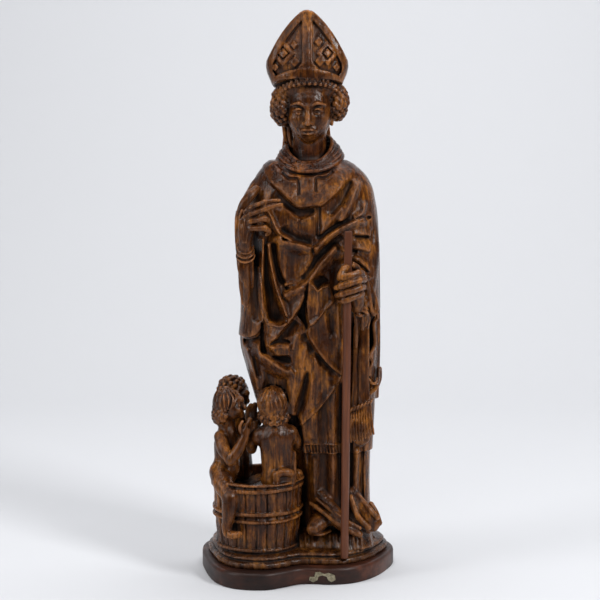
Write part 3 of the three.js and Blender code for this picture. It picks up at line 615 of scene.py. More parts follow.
def hair():
    # A beaded fringe under the mitre, on a band of hair
    places = []
    for i in range(FRINGE_BEADS):
        a = math.radians(-80 + i * FRINGE_BEAD_DEGREES)
        drop = 19 * (abs(a) / 1.40) ** 2.0
        places.append((HEAD_X + 44 * math.sin(a), 3 - 45.5 * math.cos(a), 737 - drop, a))
    limb([(p[0] - 5 * math.sin(p[3]), p[1] + 5 * math.cos(p[3]), p[2]) for p in places[::4]],
         [5.6, 5.6, 5.6], soft=2)
    for i, (x, y, z, a) in enumerate(places):
        lift = 2.6 if i % 2 else -2.6
        ball((x, y, z + lift), (3.4, 3.4, 3.3), soft=0.3)
        ball((x + 3.4 * math.sin(a), y - 3.4 * math.cos(a), z + lift), (1.0, 1.0, 1.1), soft=0.3,
             cut=True)
    ball((HEAD_X, 5, 724), (45, 41, 22), soft=2)
    for side in (-1, 1):
        ball((HEAD_X + 38 * side, 6, 720), (12, 24, 18), soft=3)
    ball((-20, 7, 704), (13, 22, 24), soft=3)
    ball((57, 7, 709), (11, 22, 22), soft=3)
    curls((-21, 4, 700), (16, 24, 27), 96, 4.6, lambda w: w[0] < 0.55 and w[1] < 0.6)
    curls((57, 4, 706), (15, 24, 25), 92, 4.5, lambda w: w[0] > -0.55 and w[1] < 0.6)
    ball((HEAD_X, 26, 700), (38, 22, 34), soft=3)
    curls((HEAD_X, 26, 700), (38, 22, 36), 110, 5.6, lambda w: w[1] > 0.05)
    limb([(50, 0, 692), (49, -4, 682), (50, -3, 674)], [5, 4, 2.5], soft=2)


# The mitre

MITRE_HALF = [(712, 43), (724, 48), (738, 54), (747, 59), (757, 60.5), (766, 59), (778, 53),
              (793, 45), (807, 36), (820, 26), (830, 16.5), (836, 9.5), (838.3, 5), (838.9, 0.5)]
MITRE_LEAN = 0.24


def mitre():
    where, x, y, z = window((-52, -52, 704), (80, 56, 842), 8)
    height = z[0, 0]
    dx = x - MITRE_X
    deep = profile([(704, 43), (762, 46), (790, 39), (815, 31), (841, 22)], height)[None, None, :]
    wide = profile([(704, 49), (737, 56), (762, 63), (841, 66)], height)[None, None, :]
    q = ((np.abs(dx) / wide) ** 2.1 + (np.abs(y - 2) / deep) ** 2.1) ** (1 / 2.1) + 1e-6
    steep = np.sqrt((dx / wide**2) ** 2 + ((y - 2) / deep**2) ** 2) / q
    shell = (q - 1) / np.maximum(steep, 0.01)
    half = [(w, h) for h, w in MITRE_HALF]
    arch_line = half + [(-w, h) for w, h in reversed(half)]
    u = (axes[0][where[0]] - MITRE_X)[:, None]
    h = height[None, :]
    arch = outline_distance(arch_line, u, h)[:, None, :]
    distance = np.maximum(shell, arch)
    distance = distance + rounding(shell - arch, 4)
    # A sunk field leaves a border, a band up the middle and a band round the foot
    foot = z - (731 - MITRE_LEAN * y)
    rise = 15 - 8 * (dx / 50) ** 2
    border = smooth((arch + 11.5) / 1.6)
    flare = 8.3 + 9 * smooth((766 - z) / 14)
    middle = smooth((flare - np.abs(dx)) / 1.6) * (y < 0)
    ring = smooth((rise - foot) / 1.8)
    bands = np.maximum(np.maximum(border, middle), ring)
    lines = np.exp(-(((dx - 4.2) / 1.0) ** 2)) * (y < 0) * (1 - ring)
    gem = np.zeros(arch.shape, dtype=np.float32)
    for gx, gz, gw, gh, hollowed in (
        (-35, 777, 21, 21, True), (29, 777, 18, 20, True),
        (-18, 765, 9, 9, False), (-19, 789, 6, 8, False), (-46, 757, 6, 7, False),
        (16.5, 793, 7, 8, False), (18, 765.5, 8, 9, False), (42, 757, 6, 7, False),
    ):
        span = np.abs(u - gx) / gw + np.abs(h - gz) / gh
        made = smooth((1 - span) * 5)
        if hollowed:
            made = made * (1 - smooth((0.52 - span) * 14)) + smooth((0.40 - span) * 12)
        gem = np.maximum(gem, made[:, None, :].astype(np.float32))
    ahead = (y < 6) * (1 - bands)
    distance = distance + 3.8 * (1 - bands) - 3.8 * gem * ahead + 0.8 * lines
    distance = distance + 1.4 * np.exp(-(((arch + 12) / 1.3) ** 2)) * (1 - ring) * (1 - middle)
    distance = distance + 1.2 * np.exp(-(((foot - rise - 0.8) / 1.2) ** 2)) * (1 - border)
    distance = np.maximum(distance, -foot)
    cleft = [(2, 757), (9.5, 792), (19, 850), (-15, 850), (-6.5, 792)]
    gap = outline_distance(cleft, axes[1][where[1]][:, None], h)[None, :, :]
    distance = np.maximum(distance, -gap)
    merge(where, distance.astype(np.float32), 0.8)
    for side in (-1, 1):
        x0 = MITRE_X + side * 17
        limb([(x0, 44, 745), (x0 + side * 5, 51, 700), (x0 + side * 11, 57, 640),
              (x0 + side * 14, 55.5, 590)], [8, 8, 9, 10], soft=1, flat=1, squash=0.35)
        limb([(x0 + side * 13, 55.5, 596), (x0 + side * 14, 58, 580)], [11, 12], soft=1, flat=1,
             squash=0.35)
    limb([(-18, 16, 700), (-20, 14, 676), (-15, 12, 640)], [3.5, 3.5, 4], soft=1)
    limb([(-13, 2, 672), (-12, 2, 658), (-8, 2, 642)], [2.6, 2.8, 3], soft=1)


def amice():
    """The twisted neck cloth: folds from each side that cross in front."""
    for side, top in ((-1, 634), (1, 642)):
        limb([(HEAD_X, 40, 634), (HEAD_X + side * 27, 28, 630), (HEAD_X + side * 36, 6, top - 6),
              (HEAD_X + side * 26, -20, 616), (HEAD_X, -32, 608)], [7.5, 7.5, 6, 4.5, 4], soft=2)
    for side in (-1, 1):
        inner, outer, top, low = (33.5, 47.5, 646, 625) if side < 0 else (32, 49, 654, 631)
        for row in range(10):
            part = (row - 1) / 8
            groove = row % 2 == 0
            points = []
            for step in range(14):
                turn = 165 - step * (16.4 if side > 0 else 15.2)
                a = math.radians(turn)
                ahead = (0.5 + 0.5 * math.cos(a)) ** 2.5
                radius = (inner + (outer - inner) * part) * (1 - ahead) + (37 + 10 * part) * ahead
                radius += 1.0 * math.sin(2.5 * a + part * 7) + (2.5 if groove else 0)
                z = (top + (low - top) * part) * (1 - ahead) + (618.5 - 11 * part) * ahead
                z += 1.2 if groove else 0
                past = max(0.0, -turn / 40)
                radius += (2.4 * ahead if side > 0 else 0) - 3.5 * past
                z += (1.0 if side > 0 else 0) - 4.5 * past
                points.append((HEAD_X + side * radius * math.sin(a),
                               6 - radius * math.cos(a), z))
            if groove:
                limb(points, [1.4, 2.0, 2.1, 1.8, 1.0], soft=0.6, per_span=2, cut=True)
            else:
                limb(points, [3.2, 3.7, 3.5, 2.9, 2.2], soft=0, per_span=2)


# Arms and hands


def right_arm():
    limb([(-58, 2, 580), (-70, -16, 560), (-79, -34, 532), (-80, -42, 500), (-79, -44, 474)],
         [13, 12.5, 10, 9, 8], soft=6)
    # Cloth thrown back over the arm
    limb([(-60, -30, 581), (-69, -38, 572), (-78, -42, 561), (-84, -42, 548)], [6, 7.5, 6.5, 5],
         soft=6)
    limb([(-52, -44, 582), (-62, -48, 577), (-73, -50, 565)], [1.0, 1.6, 1.2], soft=1, cut=True)
    limb([(-56, -40, 589), (-68, -44, 582), (-79, -46, 568)], [1.0, 1.6, 1.2], soft=1, cut=True)
    limb([(-60, -47, 571), (-70, -51, 562), (-79, -51, 551)], [1.0, 1.8, 1.2], soft=1, cut=True)
    limb([(-86, -36, 548), (-87, -44, 536), (-87, -48, 518), (-86, -50, 500), (-84, -50, 484)],
         [4, 4.2, 4, 4, 4], soft=1)
    limb([(-80, -52, 552), (-83, -54, 540), (-83.5, -56, 525), (-85, -56, 508)],
         [2.4, 2.4, 2.4, 2.6], soft=0.8)
    limb([(-72, -24, 472), (-75, -40, 484), (-75.5, -54, 494), (-75, -60, 510)],
         [14, 11, 9.5, 9], soft=3)
    for z, radius, y in ((480, 12.9, -49.5), (486.5, 12.1, -51.5), (493, 11.5, -53.5)):
        points = []
        for step in range(9):
            a = math.radians(-100 + 25 * step)
            sag = 9 * math.cos(a)
            points.append((-75.5 + radius * math.sin(a), y - 0.8 * radius * math.cos(a),
                           z + 7 - sag))
        limb(points, [1.4, 1.9, 1.4], soft=0.4, per_span=2)
    limb([(-84, -46, 484), (-82, -50, 468), (-79, -48, 452)], [5, 5.5, 4], soft=1.5)
    limb([(-76, -48, 484), (-75, -50, 470), (-74, -46, 440), (-75, -40, 412)],
         [5, 5.5, 5.5, 3.5], soft=2)
    limb([(-68, -46, 480), (-67, -46, 460), (-67, -42, 440)], [4, 4, 3], soft=2)
    limb([(-82, -34, 468), (-81, -32, 440), (-79, -28, 414)], [5, 5, 3.5], soft=2)
    # The back of the hand, with sinews, and the fingers
    ball((-73.5, -61, 527), (12, 9, 22), soft=3, turn=(0, 6, 0))
    ball((-67, -63, 541), (11, 9, 14), soft=4, turn=(0, 25, 0))
    for low, high in (((-78, -69, 508), (-75, -70, 540)), ((-74, -70, 508), (-70, -71, 532))):
        limb([low, high], [1.5, 1.9], soft=2)
    finger([(-74, -64, 551), (-67, -69, 557), (-58, -72, 562), (-47, -74, 565.5),
            (-36, -75, 568), (-26, -76, 569)], [4.4, 4.2, 3.9, 3.6, 3.2, 2.6], (1, 3))
    finger([(-75, -66, 543), (-68, -71, 548.5), (-58, -74.5, 552), (-46, -77, 557),
            (-34, -78, 561), (-23, -79, 563.5)], [4.4, 4.2, 3.9, 3.7, 3.2, 2.7], (1, 3))
    finger([(-73, -66, 533), (-67, -71, 538.5), (-57, -75, 541), (-47, -77, 543),
            (-42.5, -73, 540), (-46, -68, 536)], [4.6, 4.5, 4.2, 4.1, 3.6, 3], (1, 3))
    finger([(-73, -64, 524), (-67, -70, 528.5), (-57, -74, 529), (-47, -76, 529),
            (-41.5, -72, 524), (-44, -66, 519)], [4.6, 4.6, 4.4, 4.5, 4, 3], (1, 3))


def finger(points, radii, knuckles=(1, -2)):
    limb(points, radii, soft=0.8)
    for i in knuckles:
        place = points[i]
        ball((place[0], place[1] - 0.6, place[2] + 0.4), [radii[1] + 0.25] * 3, soft=1.2)


def left_arm():
    limb([(102, -2, 520), (106, -10, 490), (104, -16, 456)], [14, 14, 12], soft=8)
    limb([(102, -18, 440), (96, -34, 420), (90, -46, 412)], [13, 11, 10], soft=4)
    limb([(88, -48, 408), (87, -58, 414), (86, -62, 428)], [9, 8.5, 10.5], soft=2)
    ball((86.5, -63, 445), (10.5, 11, 23), soft=4, turn=(0, 6, 0))
    ball((73, -62, 444), (13, 7, 20), soft=3)
    finger([(93, -67, 463), (87, -77, 464), (77, -82.5, 462), (66, -82.5, 459),
            (60, -77, 457)], [4.8, 5.2, 5.1, 4.9, 4.0])
    finger([(96, -68, 454), (89, -79, 455), (76, -85, 451.5), (63, -83.5, 446.5),
            (56, -76, 443)], [5.0, 5.4, 5.3, 5.0, 4.0])
    finger([(95, -67, 443), (89, -78, 443.5), (76, -84, 439.5), (64, -82.5, 435),
            (57, -76, 432)], [4.8, 5.3, 5.2, 4.8, 3.9])
    finger([(93, -65, 433), (87, -75, 432), (76, -81, 428.5), (67, -80, 425),
            (61, -74, 424)], [4.5, 4.9, 4.8, 4.3, 3.6])
    finger([(85, -58, 470), (77, -67, 475), (67, -77, 470), (61.5, -83, 461)],
           [5.6, 5.4, 5.4, 5.0], (2,))
    # The cuff and the sleeve's gathered end
    loop((89.5, -52, 410), 9.6, 2.3, turn=(-24, 15))
    loop((91, -50, 404.5), 10.6, 2.6, turn=(-24, 22))
    limb([(84, -54, 404), (90, -57, 400), (98, -50, 403), (101, -46, 408)], [2.6, 3, 2.8, 2.4],
         soft=1)
    limb([(96, -50, 408), (100, -47, 398), (99, -46, 384)], [3, 3.4, 2.6], soft=1.2)
    limb([(94, -50, 402), (95, -49, 390), (95, -47, 378)], [3, 3.2, 2.4], soft=1.2)
    limb([(102, -45, 402), (104, -43, 392), (103, -42, 382)], [2.6, 2.8, 2], soft=1.2)
    limb([(85, -50, 400), (86, -48, 380), (86, -46, 352)], [3.2, 3, 2.4], soft=1.5)
    # Cloth that falls from the elbow behind the wrist
    limb([(92, -34, 468), (99, -40, 450), (103, -38, 430), (107, -34, 408), (112, -30, 398)],
         [4, 4.5, 4.5, 4, 3.5], soft=2)
    limb([(97, -32, 452), (105, -30, 436), (112, -26, 420), (116, -24, 404)], [4, 5, 5, 4],
         soft=2.5)
    # The far edge of the hanging cloth, as a thin lip, and its rolled corner
    limb([(104, -30, 424), (110, -30, 406), (116.5, -26, 398), (117.5, -24, 391),
          (112, -24, 383), (113.5, -26, 366), (113.5, -26, 350), (106, -28, 335), (110, -27, 326),
          (106, -27, 316), (106, -26, 306)], [2.4, 2.6, 2.6, 2.4, 2.2, 2.4, 2.4, 2.2, 2.2, 2, 2],
         soft=1.5)
    limb([(122, 2, 310), (121, -4, 296), (116, -12, 284), (108, -16, 276)], [4, 4.5, 3.6, 2.6],
         soft=2)
    limb([(106, -20, 298), (110, -20, 292), (116, -16, 292), (118, -12, 298)], [2.2, 2.4, 2.4, 2],
         soft=1)
    ball((112, -18, 286), (4, 6, 3.6), soft=1, turn=(0, -35, 0), cut=True)


def maniple():
    limb([(97.5, -38, 386), (97.5, -42, 350), (97.5, -43, 300), (98, -43, 262)],
         [7.5, 7.7, 7.7, 8.2], soft=1, flat=1, squash=0.5)
    limb([(86, -38, 380), (85.5, -39, 320), (84.5, -40, 258)], [4, 4.4, 5], soft=1, flat=1,
         squash=0.6)
    for i in range(7):
        t = i / 6
        ball((78.5 + 29.5 * t, -48 + 4 * t * t, 258 + 12 * t), (2.0, 4.8, 5.4), soft=0.2,
             turn=(0, 28, 0))
    for i in range(9):
        t = i / 8
        top = (80 + 27 * t, -44 - 3 * math.sin(3.1 * t), 254 + 12 * t)
        low = (79 + 33 * t, -47 - 5 * math.sin(3.1 * t), 210 + 12 * t * t + 2 * (i % 2))
        mid = ((top[0] + low[0]) / 2 - 0.6, -47 - 4 * math.sin(3.1 * t), 234 + 10 * t)
        limb([top, mid, low], [1.5, 1.8, 1.7], soft=0)
    limb([(93, -34, 256), (94, -34, 216)], [12, 14], soft=1, flat=1, squash=0.4)


# The tub and the boys


def tub():
    where, x, y, z = window((-132, -76, 44), (12, 68, 162), 10)
    dx = x - TUB[0]
    dy = y - TUB[1]
    radius = np.sqrt(dx**2 + dy**2)
    a = np.arctan2(dx, -dy)
    height = z[0, 0]
    wall = profile([(44, 62), (60, 62.5), (96, 65), (130, 66.5), (152, 68)], height)
    wall = wall[None, None, :]
    turn = a * STAVES / (2 * math.pi) + 0.06
    place = turn % 1.0
    near = np.minimum(place, 1 - place) * (2 * math.pi / STAVES) * TUB_RADIUS
    gap = 2.6 * np.exp(-((near / 1.1) ** 2))
    belly = 1.2 * (place - 0.5) ** 2
    tilt = 0.7 * np.cos(np.floor(turn) * 2.4) - 0.5
    split = 1.2 * np.exp(-(((place - 0.35 - 0.1 * np.sin(z / 9)) * 16.6 / 0.8) ** 2))
    split = split * (np.cos(np.floor(turn) * 1.7) > 0.3)
    bands = np.zeros(z.shape)
    for low, high in HOOPS:
        sag = 0.7 * np.cos(2 * a + low)
        edge = smooth((z - low - sag) / 1.4) * smooth((high + sag - z) / 1.4)
        bands = np.maximum(bands, edge)
    rim = smooth((z - 146) / 1.2)
    crack = np.exp(-(((z - 144.8) / 0.9) ** 2)) + np.exp(-(((z - 98.3) / 1.2) ** 2))
    rough = 0.35 * np.sin(a * 90 + 3 * np.sin(z / 17)) + 0.3 * np.sin(z / 3.1 + a * 7)
    skin = wall + 2.6 * bands + 2.4 * rim - (gap + belly + split) * (1 - bands) * (1 - rim)
    skin = skin + tilt * (1 - bands) - 1.6 * crack + rough
    side = radius - skin
    ripple = 1.4 * np.sin(dx / 5.5 + 1.5 * np.sin(dy / 9)) + 0.8 * np.cos(dy / 4.3)
    floor_z = TUB_FLOOR + ripple + 6 * smooth((dx + dy) / 60) - 5 * smooth((dy - 8) / 20)
    inner = np.maximum(radius - (wall - TUB_WALL), floor_z - z)
    distance = np.maximum(side, z - TUB_TOP - 0.5 * np.sin(a * 9))
    distance = np.maximum(distance, -inner)
    merge(where, distance.astype(np.float32), 0.8)
    # The wooden lug and handle on the rim
    limb([(-32, -59, 142), (-32, -59, 154), (-31.5, -58, 162)], [5.4, 5.2, 5.0], soft=0.6, flat=1,
         squash=0.9)
    limb([(-31.5, -58, 163), (-24, -57, 166), (-16, -55, 166), (-9, -50, 163)],
         [5.0, 5.8, 6.2, 5.6], soft=0.8)
    limb([(-9, -50, 164), (-8, -48, 157), (-8, -46, 148)], [5.4, 4.8, 4.8], soft=1)
    limb([(-26, -49, 157), (-16, -46, 158)], [6.5, 6.5], soft=2)
    limb([(-28, -46, 146), (-14, -42, 150)], [7, 8], soft=3)
    limb([(-5, -34, 190), (-5, -34, 168), (-5, -33, 150)], [3.0, 3.4, 4.2], soft=1)
    limb([(-30, -30, 146), (-8, -26, 150), (0, -18, 154)], [7, 7, 8], soft=6)


def hair_strands(centre, size, count, start, radius=1.7, lean=0.0, length=1.9):
    """Grooves between strands that fall from the crown over a head."""
    for i in range(count):
        a = start + 2 * math.pi * i / count
        points = []
        for step in range(5):
            tip = 0.25 + step * length / 4
            wave = 0.10 * math.sin(step * 2 + i)
            way = (math.sin(tip) * math.cos(a + wave), math.sin(tip) * math.sin(a + wave),
                   math.cos(tip))
            points.append((centre[0] + size[0] * way[0] + lean * step, centre[1]
                           + size[1] * way[1], centre[2] + size[2] * way[2]))
        limb(points, [radius * 0.5, radius, radius, radius * 0.8], soft=0.5, per_span=2, cut=True)


def small_face(centre, forward, up, scale):
    """A plain child's face in profile or from ahead: brow, nose, lips and chin."""
    f = Vector(forward).normalized()
    u = Vector(up)
    u = (u - f * u.dot(f)).normalized()
    s = u.cross(f)

    def at(side, ahead, rise):
        p = Vector(centre) + (s * side + f * ahead + u * rise) * scale
        return (p.x, p.y, p.z)

    def lump(place, radius, soft, cut=False):
        ball(at(*place), (radius * scale,) * 3, soft=soft, cut=cut)

    def strand(places, radii, soft=1):
        limb([at(*p) for p in places], [r * scale for r in radii], soft=soft)

    strand([(0, 17, 3), (0, 20.5, -3)], [2, 3], soft=2)
    lump((0, 15.5, 8), 6, 4)
    for side in (-1, 1):
        lump((6.5 * side, 18, 2), 3.4, 2, cut=True)
        lump((6.5 * side, 14.6, 1.5), 3.2, 1)
        lump((8 * side, 12, -6), 6, 3)
    strand([(-3.5, 16.6, -8.5), (0, 18, -8), (3.5, 16.6, -8.5)], [1.2, 1.6, 1.2])
    strand([(-3, 16, -11), (0, 17, -11.4), (3, 16, -11)], [1.2, 1.7, 1.2])
    lump((0, 13.5, -15), 4.5, 3)


def boy_at_the_rim():
    ball((-103, -14, 262), (21, 20, 22), soft=3)
    ball((-108, -12, 250), (17, 18, 18), soft=3)
    ball((-95, -19, 252), (13, 14, 14), soft=4)
    small_face((-99, -17, 258), (0.93, -0.32, 0.12), (-0.2, 0, 1), 1.02)
    # Hair combed back from the brow, down to the nape
    ball((-108, -13, 264), (18, 21.5, 22.5), soft=2)
    limb([(-113, -13, 260), (-115, -13, 246), (-113, -13, 234)], [13, 12.5, 9.5], soft=4)
    hair_strands((-106, -13, 263), (20.4, 21.2, 22.8), 20, 0.1, radius=2.0, lean=-0.8)
    curls((-112, -14, 246), (13.5, 18, 17), 84, 4.0, lambda w: w[0] < 0.45 and w[1] < 0.5)
    limb([(-104, -12, 240), (-105, -12, 222)], [10.5, 12], soft=3)
    limb([(-105, -13, 214), (-107.5, -12, 198), (-108, -12, 176), (-110.5, -13, 152)],
         [15, 17.5, 16.5, 19.5], soft=5)
    limb([(-97, -16, 206), (-97, -19, 180), (-98, -20, 163)], [11, 10.5, 11.5], soft=6)
    limb([(-114, -23, 212), (-110, -36, 197), (-98, -46, 182)], [10.4, 9.8, 8.6], soft=2)
    limb([(-98, -46, 182), (-88, -46, 197), (-79, -43, 214)], [8.8, 8.4, 6.8], soft=1.5)
    limb([(-79, -43, 214), (-76, -42, 226)], [6, 6.6], soft=2)
    for i in range(4):
        limb([(-76.5 + i * 1.4, -45 + i * 2.6, 226), (-74.5 + i * 1.5, -44 + i * 2.4, 236),
              (-71 + i * 0.8, -41 + i * 2.0, 244 - i)], [2.9, 2.7, 2.0], soft=0.6)
    limb([(-82, -44, 222), (-85, -46, 231), (-81, -44, 240)], [3, 2.7, 2.2], soft=0.8)
    limb([(-98, 0, 212), (-88, -8, 198), (-80, -24, 212), (-76, -32, 230)], [8, 7.4, 6.4, 5],
         soft=3)
    limb([(-115, -20, 158), (-111, -40, 146), (-99, -58, 129)], [17, 15, 12.5], soft=4)
    limb([(-99, -60, 128), (-101, -64, 108), (-103.5, -63, 86)], [12, 10.5, 7.4], soft=2.5)
    limb([(-105, -62, 88), (-103, -65, 77), (-95, -71, 75), (-86, -76, 77)], [7.4, 7, 6.6, 5.2],
         soft=2)
    for i in range(4):
        ball((-84.5 - i * 1.4, -72.5 - i * 2.4, 77 - i * 0.6), (3, 2.3, 2.5), soft=0.6)


def boy_from_behind():
    ball((-36, -33, 266), (24, 23, 26), soft=3)
    ball((-35, -30, 252), (22, 20, 16), soft=3)
    hair_strands((-36, -33, 266), (24, 23, 26), 24, 0.1, radius=2.0, length=1.5)
    curls((-35, -31, 247), (22, 21.5, 13), 60, 3.9, lambda w: w[1] < 0.45 and w[2] < 0.3)
    limb([(-33, -31, 246), (-32, -32, 226)], [17, 14], soft=4)
    for i in range(18):
        t = (i % 9) / 8
        x = -50 + 31 * t
        place = (x, -34 - 19 * math.sin(math.pi * t) ** 0.7, 246 - 8 * (i // 9) + 1.5 * (i % 2))
        ball(place, (4.2, 4.0, 4.2), soft=0.3)
        ball((place[0] + 0.6, place[1] - 3.8, place[2]), (1.4, 1.8, 1.4), soft=0.4, cut=True)
    limb([(-33, -29, 240), (-32, -30, 224)], [12, 15], soft=5)
    limb([(-56, -31, 215), (-33, -35, 221), (-13, -31, 219)], [14, 15.5, 13.5], soft=5)
    limb([(-31.5, -34, 214), (-31, -34, 194), (-31, -34, 174), (-32, -34, 152)],
         [22, 20, 19.5, 23], soft=6)
    limb([(-44, -37, 208), (-42, -35, 176)], [12, 11.5], soft=6)
    limb([(-18, -35, 210), (-20, -35, 178)], [12, 11], soft=6)
    ball((-45, -44, 208), (9, 6, 13), soft=4)
    ball((-18, -43, 210), (9, 6, 13), soft=4)
    limb([(-31.5, -56, 216), (-31, -54, 170)], [2.6, 2.6], soft=4, cut=True)
    limb([(-57, -30, 216), (-66, -27, 206), (-68.5, -24, 194)], [11, 9.5, 7.4], soft=2)
    limb([(-68.5, -24, 194), (-66, -12, 208), (-64, 0, 226)], [7.4, 7, 5.5], soft=2)
    limb([(-12, -30, 220), (-4, -26, 210), (-1, -18, 200)], [11, 9, 8], soft=3)


def boy_behind():
    ball((-97, 38, 268), (23, 22, 23), soft=3)
    curls((-98, 38, 269), (22.5, 22.5, 22.5), 96, 4.0, lambda w: w[2] > -0.5 and w[0] < 0.75)
    small_face((-92, 32, 262), (0.85, -0.5, -0.1), (0, 0, 1), 1.0)
    limb([(-95, 38, 248), (-93, 38, 226)], [10, 12], soft=4)
    limb([(-92, 38, 222), (-90, 37, 195), (-88, 36, 150)], [17, 17, 20], soft=5)
    limb([(-78, 34, 220), (-68, 28, 200), (-67, 24, 196)], [9, 8, 7], soft=3)
    limb([(-67, 24, 196), (-68, 20, 212), (-67, 16, 226)], [7, 7.4, 8], soft=2)
    limb([(-74, 16, 232), (-73.5, 14, 244), (-70, 14, 252)], [5.5, 5.2, 3.6], soft=1)
    limb([(-66, 12, 230), (-66, 10, 244), (-64, 10, 254)], [6, 5.6, 3.8], soft=1)
    limb([(-60, 8, 226), (-57, 6, 234), (-57, 6, 242)], [6, 5, 3.6], soft=1)


# The foot of the carving


def base_outline():
    """The moulded base in plan: the plinth's shape, narrower and set back at the front."""
    return [(x * BASE_WIDTH_SHARE, BASE_MIDDLE_Y + (y - BASE_MIDDLE_Y) * BASE_DEPTH_SHARE)
            for x, y in plinth_outline()]


def plinth_outline(count=96):
    """The plinth in plan, as so many points along a smooth closed line."""
    ahead = [(-146, 36), (-139, -8), (-127, -52), (-112, -78), (-92, -95), (-64, -102),
             (-42, -100), (-20, -88), (2, -74), (24, -72), (46, -75), (75, -70), (100, -54),
             (121, -28), (138, 8)]
    half = [(147, 40), (143, 68), (128, 90), (98, 101), (50, 102)]
    back = [(-x, y) for x, y in reversed(half[1:])]
    points = ahead + half + back
    turn = curve([points[-1]] + points + [points[0], points[1]], 8)
    inner = turn[8:-8]
    steps = np.linspace(0, len(inner) - 1, count, endpoint=False)
    halves = (PLINTH_HALF_WIDTH, PLINTH_HALF_DEPTH)
    x, y = [np.clip(np.interp(steps, range(len(inner)), inner[:, i]), -half, half)
            for i, half in enumerate(halves)]
    return list(zip(x, y))


def base():
    where, x, y, z = window((-142, -92, 24), (142, 100, 52), 6)
    plan = outline_distance(base_outline(), axes[0][where[0]][:, None],
                            axes[1][where[1]][None, :])[:, :, None]
    height = z[0, 0]
    inset = profile([(22, 3.4), (25, 2.8), (27, 0.8), (29.5, 0), (32.5, 0.6), (34.5, 2.6),
                     (35.8, 6.8), (37, 7.4), (38.2, 5.6), (40.5, 5.6), (42.5, 8), (44, 12),
                     (45.5, 17), (52, 26)], height)
    wave = 0.5 * np.sin(x / 9 + y / 14) * np.cos(x / 23) + 0.35 * np.sin(x / 2.3 + z / 5)
    distance = plan + inset[None, None, :] + wave
    top = BASE_TOP - 3.5 + 0.8 * np.sin(x / 6) * np.cos(y / 8)
    distance = np.maximum(distance, z - top)
    distance = np.maximum(distance, BASE_BOTTOM - z)
    merge(where, distance.astype(np.float32), 0)
    # Rough ground, gouged down its front
    where, x, y, z = window((-30, -52, 40), (134, 78, 76), 6)
    u = np.abs(x - GROUND_MIDDLE[0]) / GROUND_HALF[0]
    w = np.abs(y - GROUND_MIDDLE[1]) / GROUND_HALF[1]
    block = ((u**3 + w**3) ** (1 / 3) - 1) * 50 + 0.55 * np.maximum(z - 44, 0)
    gouge = np.abs(np.sin(x / 3.3 + 0.9 * np.sin(x / 11) + z / 30))
    block = block + 2.6 * gouge * (y < 20) + 1.5 * np.sin(x / 17)
    lumps = 2.0 * np.sin(x / 7.5 + y / 19) * np.cos(y / 6.3 + x / 31)
    ground = z - (GROUND_TOP - 1 + lumps + 5 * smooth((x - 96) / 20))
    near = np.maximum(7 - np.abs(block - ground), 0) / 7
    distance = np.maximum(np.maximum(block, ground) + near * near * 1.7, 43 - z)
    merge(where, distance.astype(np.float32), 1)


def feet():
    # The shoe
    limb([(44, -2, 90), (39, -16, 88), (31, -30, 82), (24, -40, 76)], [17, 16.5, 14.8, 10.8],
         soft=3, flat=2, squash=0.85)
    limb([(18, -26, 72), (22, -40, 69), (34, -42, 68), (46, -30, 70)], [5, 5, 5, 5], soft=2.5,
         flat=2, squash=0.5)
    limb([(23, -36, 86.5), (33, -34.5, 89.5), (46, -24, 88)], [1.2, 1.7, 1.2], soft=0.8, cut=True)
    # The alb's hem, trailing in folds to the right
    limb([(34, -12, 120), (46, -20, 104), (60, -27, 88), (74, -30, 76)], [10, 12, 13, 11], soft=6)
    limb([(84, -12, 124), (92, -20, 104), (104, -24, 90), (112, -24, 78)], [10, 12, 13, 11],
         soft=6)
    limb([(19, -22, 110), (25, -27, 108), (36, -34, 102), (50, -40, 93), (66, -46, 82),
          (80, -49, 75), (92, -50, 70)], [2.6, 3.2, 4.0, 4.4, 4.8, 5.2, 4.8], soft=1)
    limb([(28, -24, 118), (45, -33, 106), (62, -40, 94), (78, -45, 85), (92, -47, 79)],
         [2.4, 3, 3.4, 3.8, 3.4], soft=1)
    limb([(34, -34, 108), (60, -46, 91), (88, -54, 75)], [1.6, 2.4, 1.8], soft=1, cut=True)
    limb([(80, -26, 122), (85, -33, 107), (91, -40, 93), (105, -46, 79)], [3.0, 3.8, 4.4, 4.6],
         soft=1)
    limb([(89, -20, 124), (100, -28, 112), (110, -33, 100), (118, -34, 91)], [3.2, 4.2, 4.6, 4.2],
         soft=1)
    limb([(110, -18, 108), (117, -22, 96), (122, -22, 80)], [4.0, 4.4, 5], soft=2)
    limb([(77, -38, 122), (74, -45, 104), (82, -50, 88), (92, -53, 80)], [2.0, 3.0, 3.0, 2.4],
         soft=1, cut=True)
    limb([(92, -28, 118), (96, -37, 104), (106, -43, 92), (116, -44, 84)], [2.0, 3.0, 3.2, 2.6],
         soft=1, cut=True)
    limb([(46, -30, 112), (58, -42, 98), (70, -48, 86)], [2.0, 2.6, 2.6], soft=1, cut=True)


def clear_of_staff():
    """Opens the way for the staff, so that it stands free of the robe."""
    for a, b, radius in ((STAFF_FOOT, STAFF_GRIP, 6.5), (STAFF_GRIP, STAFF_TOP, 6.7)):
        limb([a, b], [radius, radius], soft=0, cut=True)


def softened(values, cells):
    """A box average over the grid, so many cells to each side."""
    for axis in range(3):
        count = values.shape[axis]
        total = np.cumsum(values, axis=axis, dtype=np.float32)
        high = np.minimum(np.arange(count) + cells, count - 1)
        low = np.maximum(np.arange(count) - cells - 1, 0)
        values = np.take(total, high, axis=axis) - np.take(total, low, axis=axis)
        values /= 2 * cells + 1
    return values


face()
hair()
mitre()
amice()
right_arm()
left_arm()
maniple()
tub()
boy_from_behind()
boy_behind()
boy_at_the_rim()
feet()
base()
clear_of_staff()
field = np.maximum(field, (BASE_BOTTOM - axes[2])[None, None, :])


# From the field to a mesh

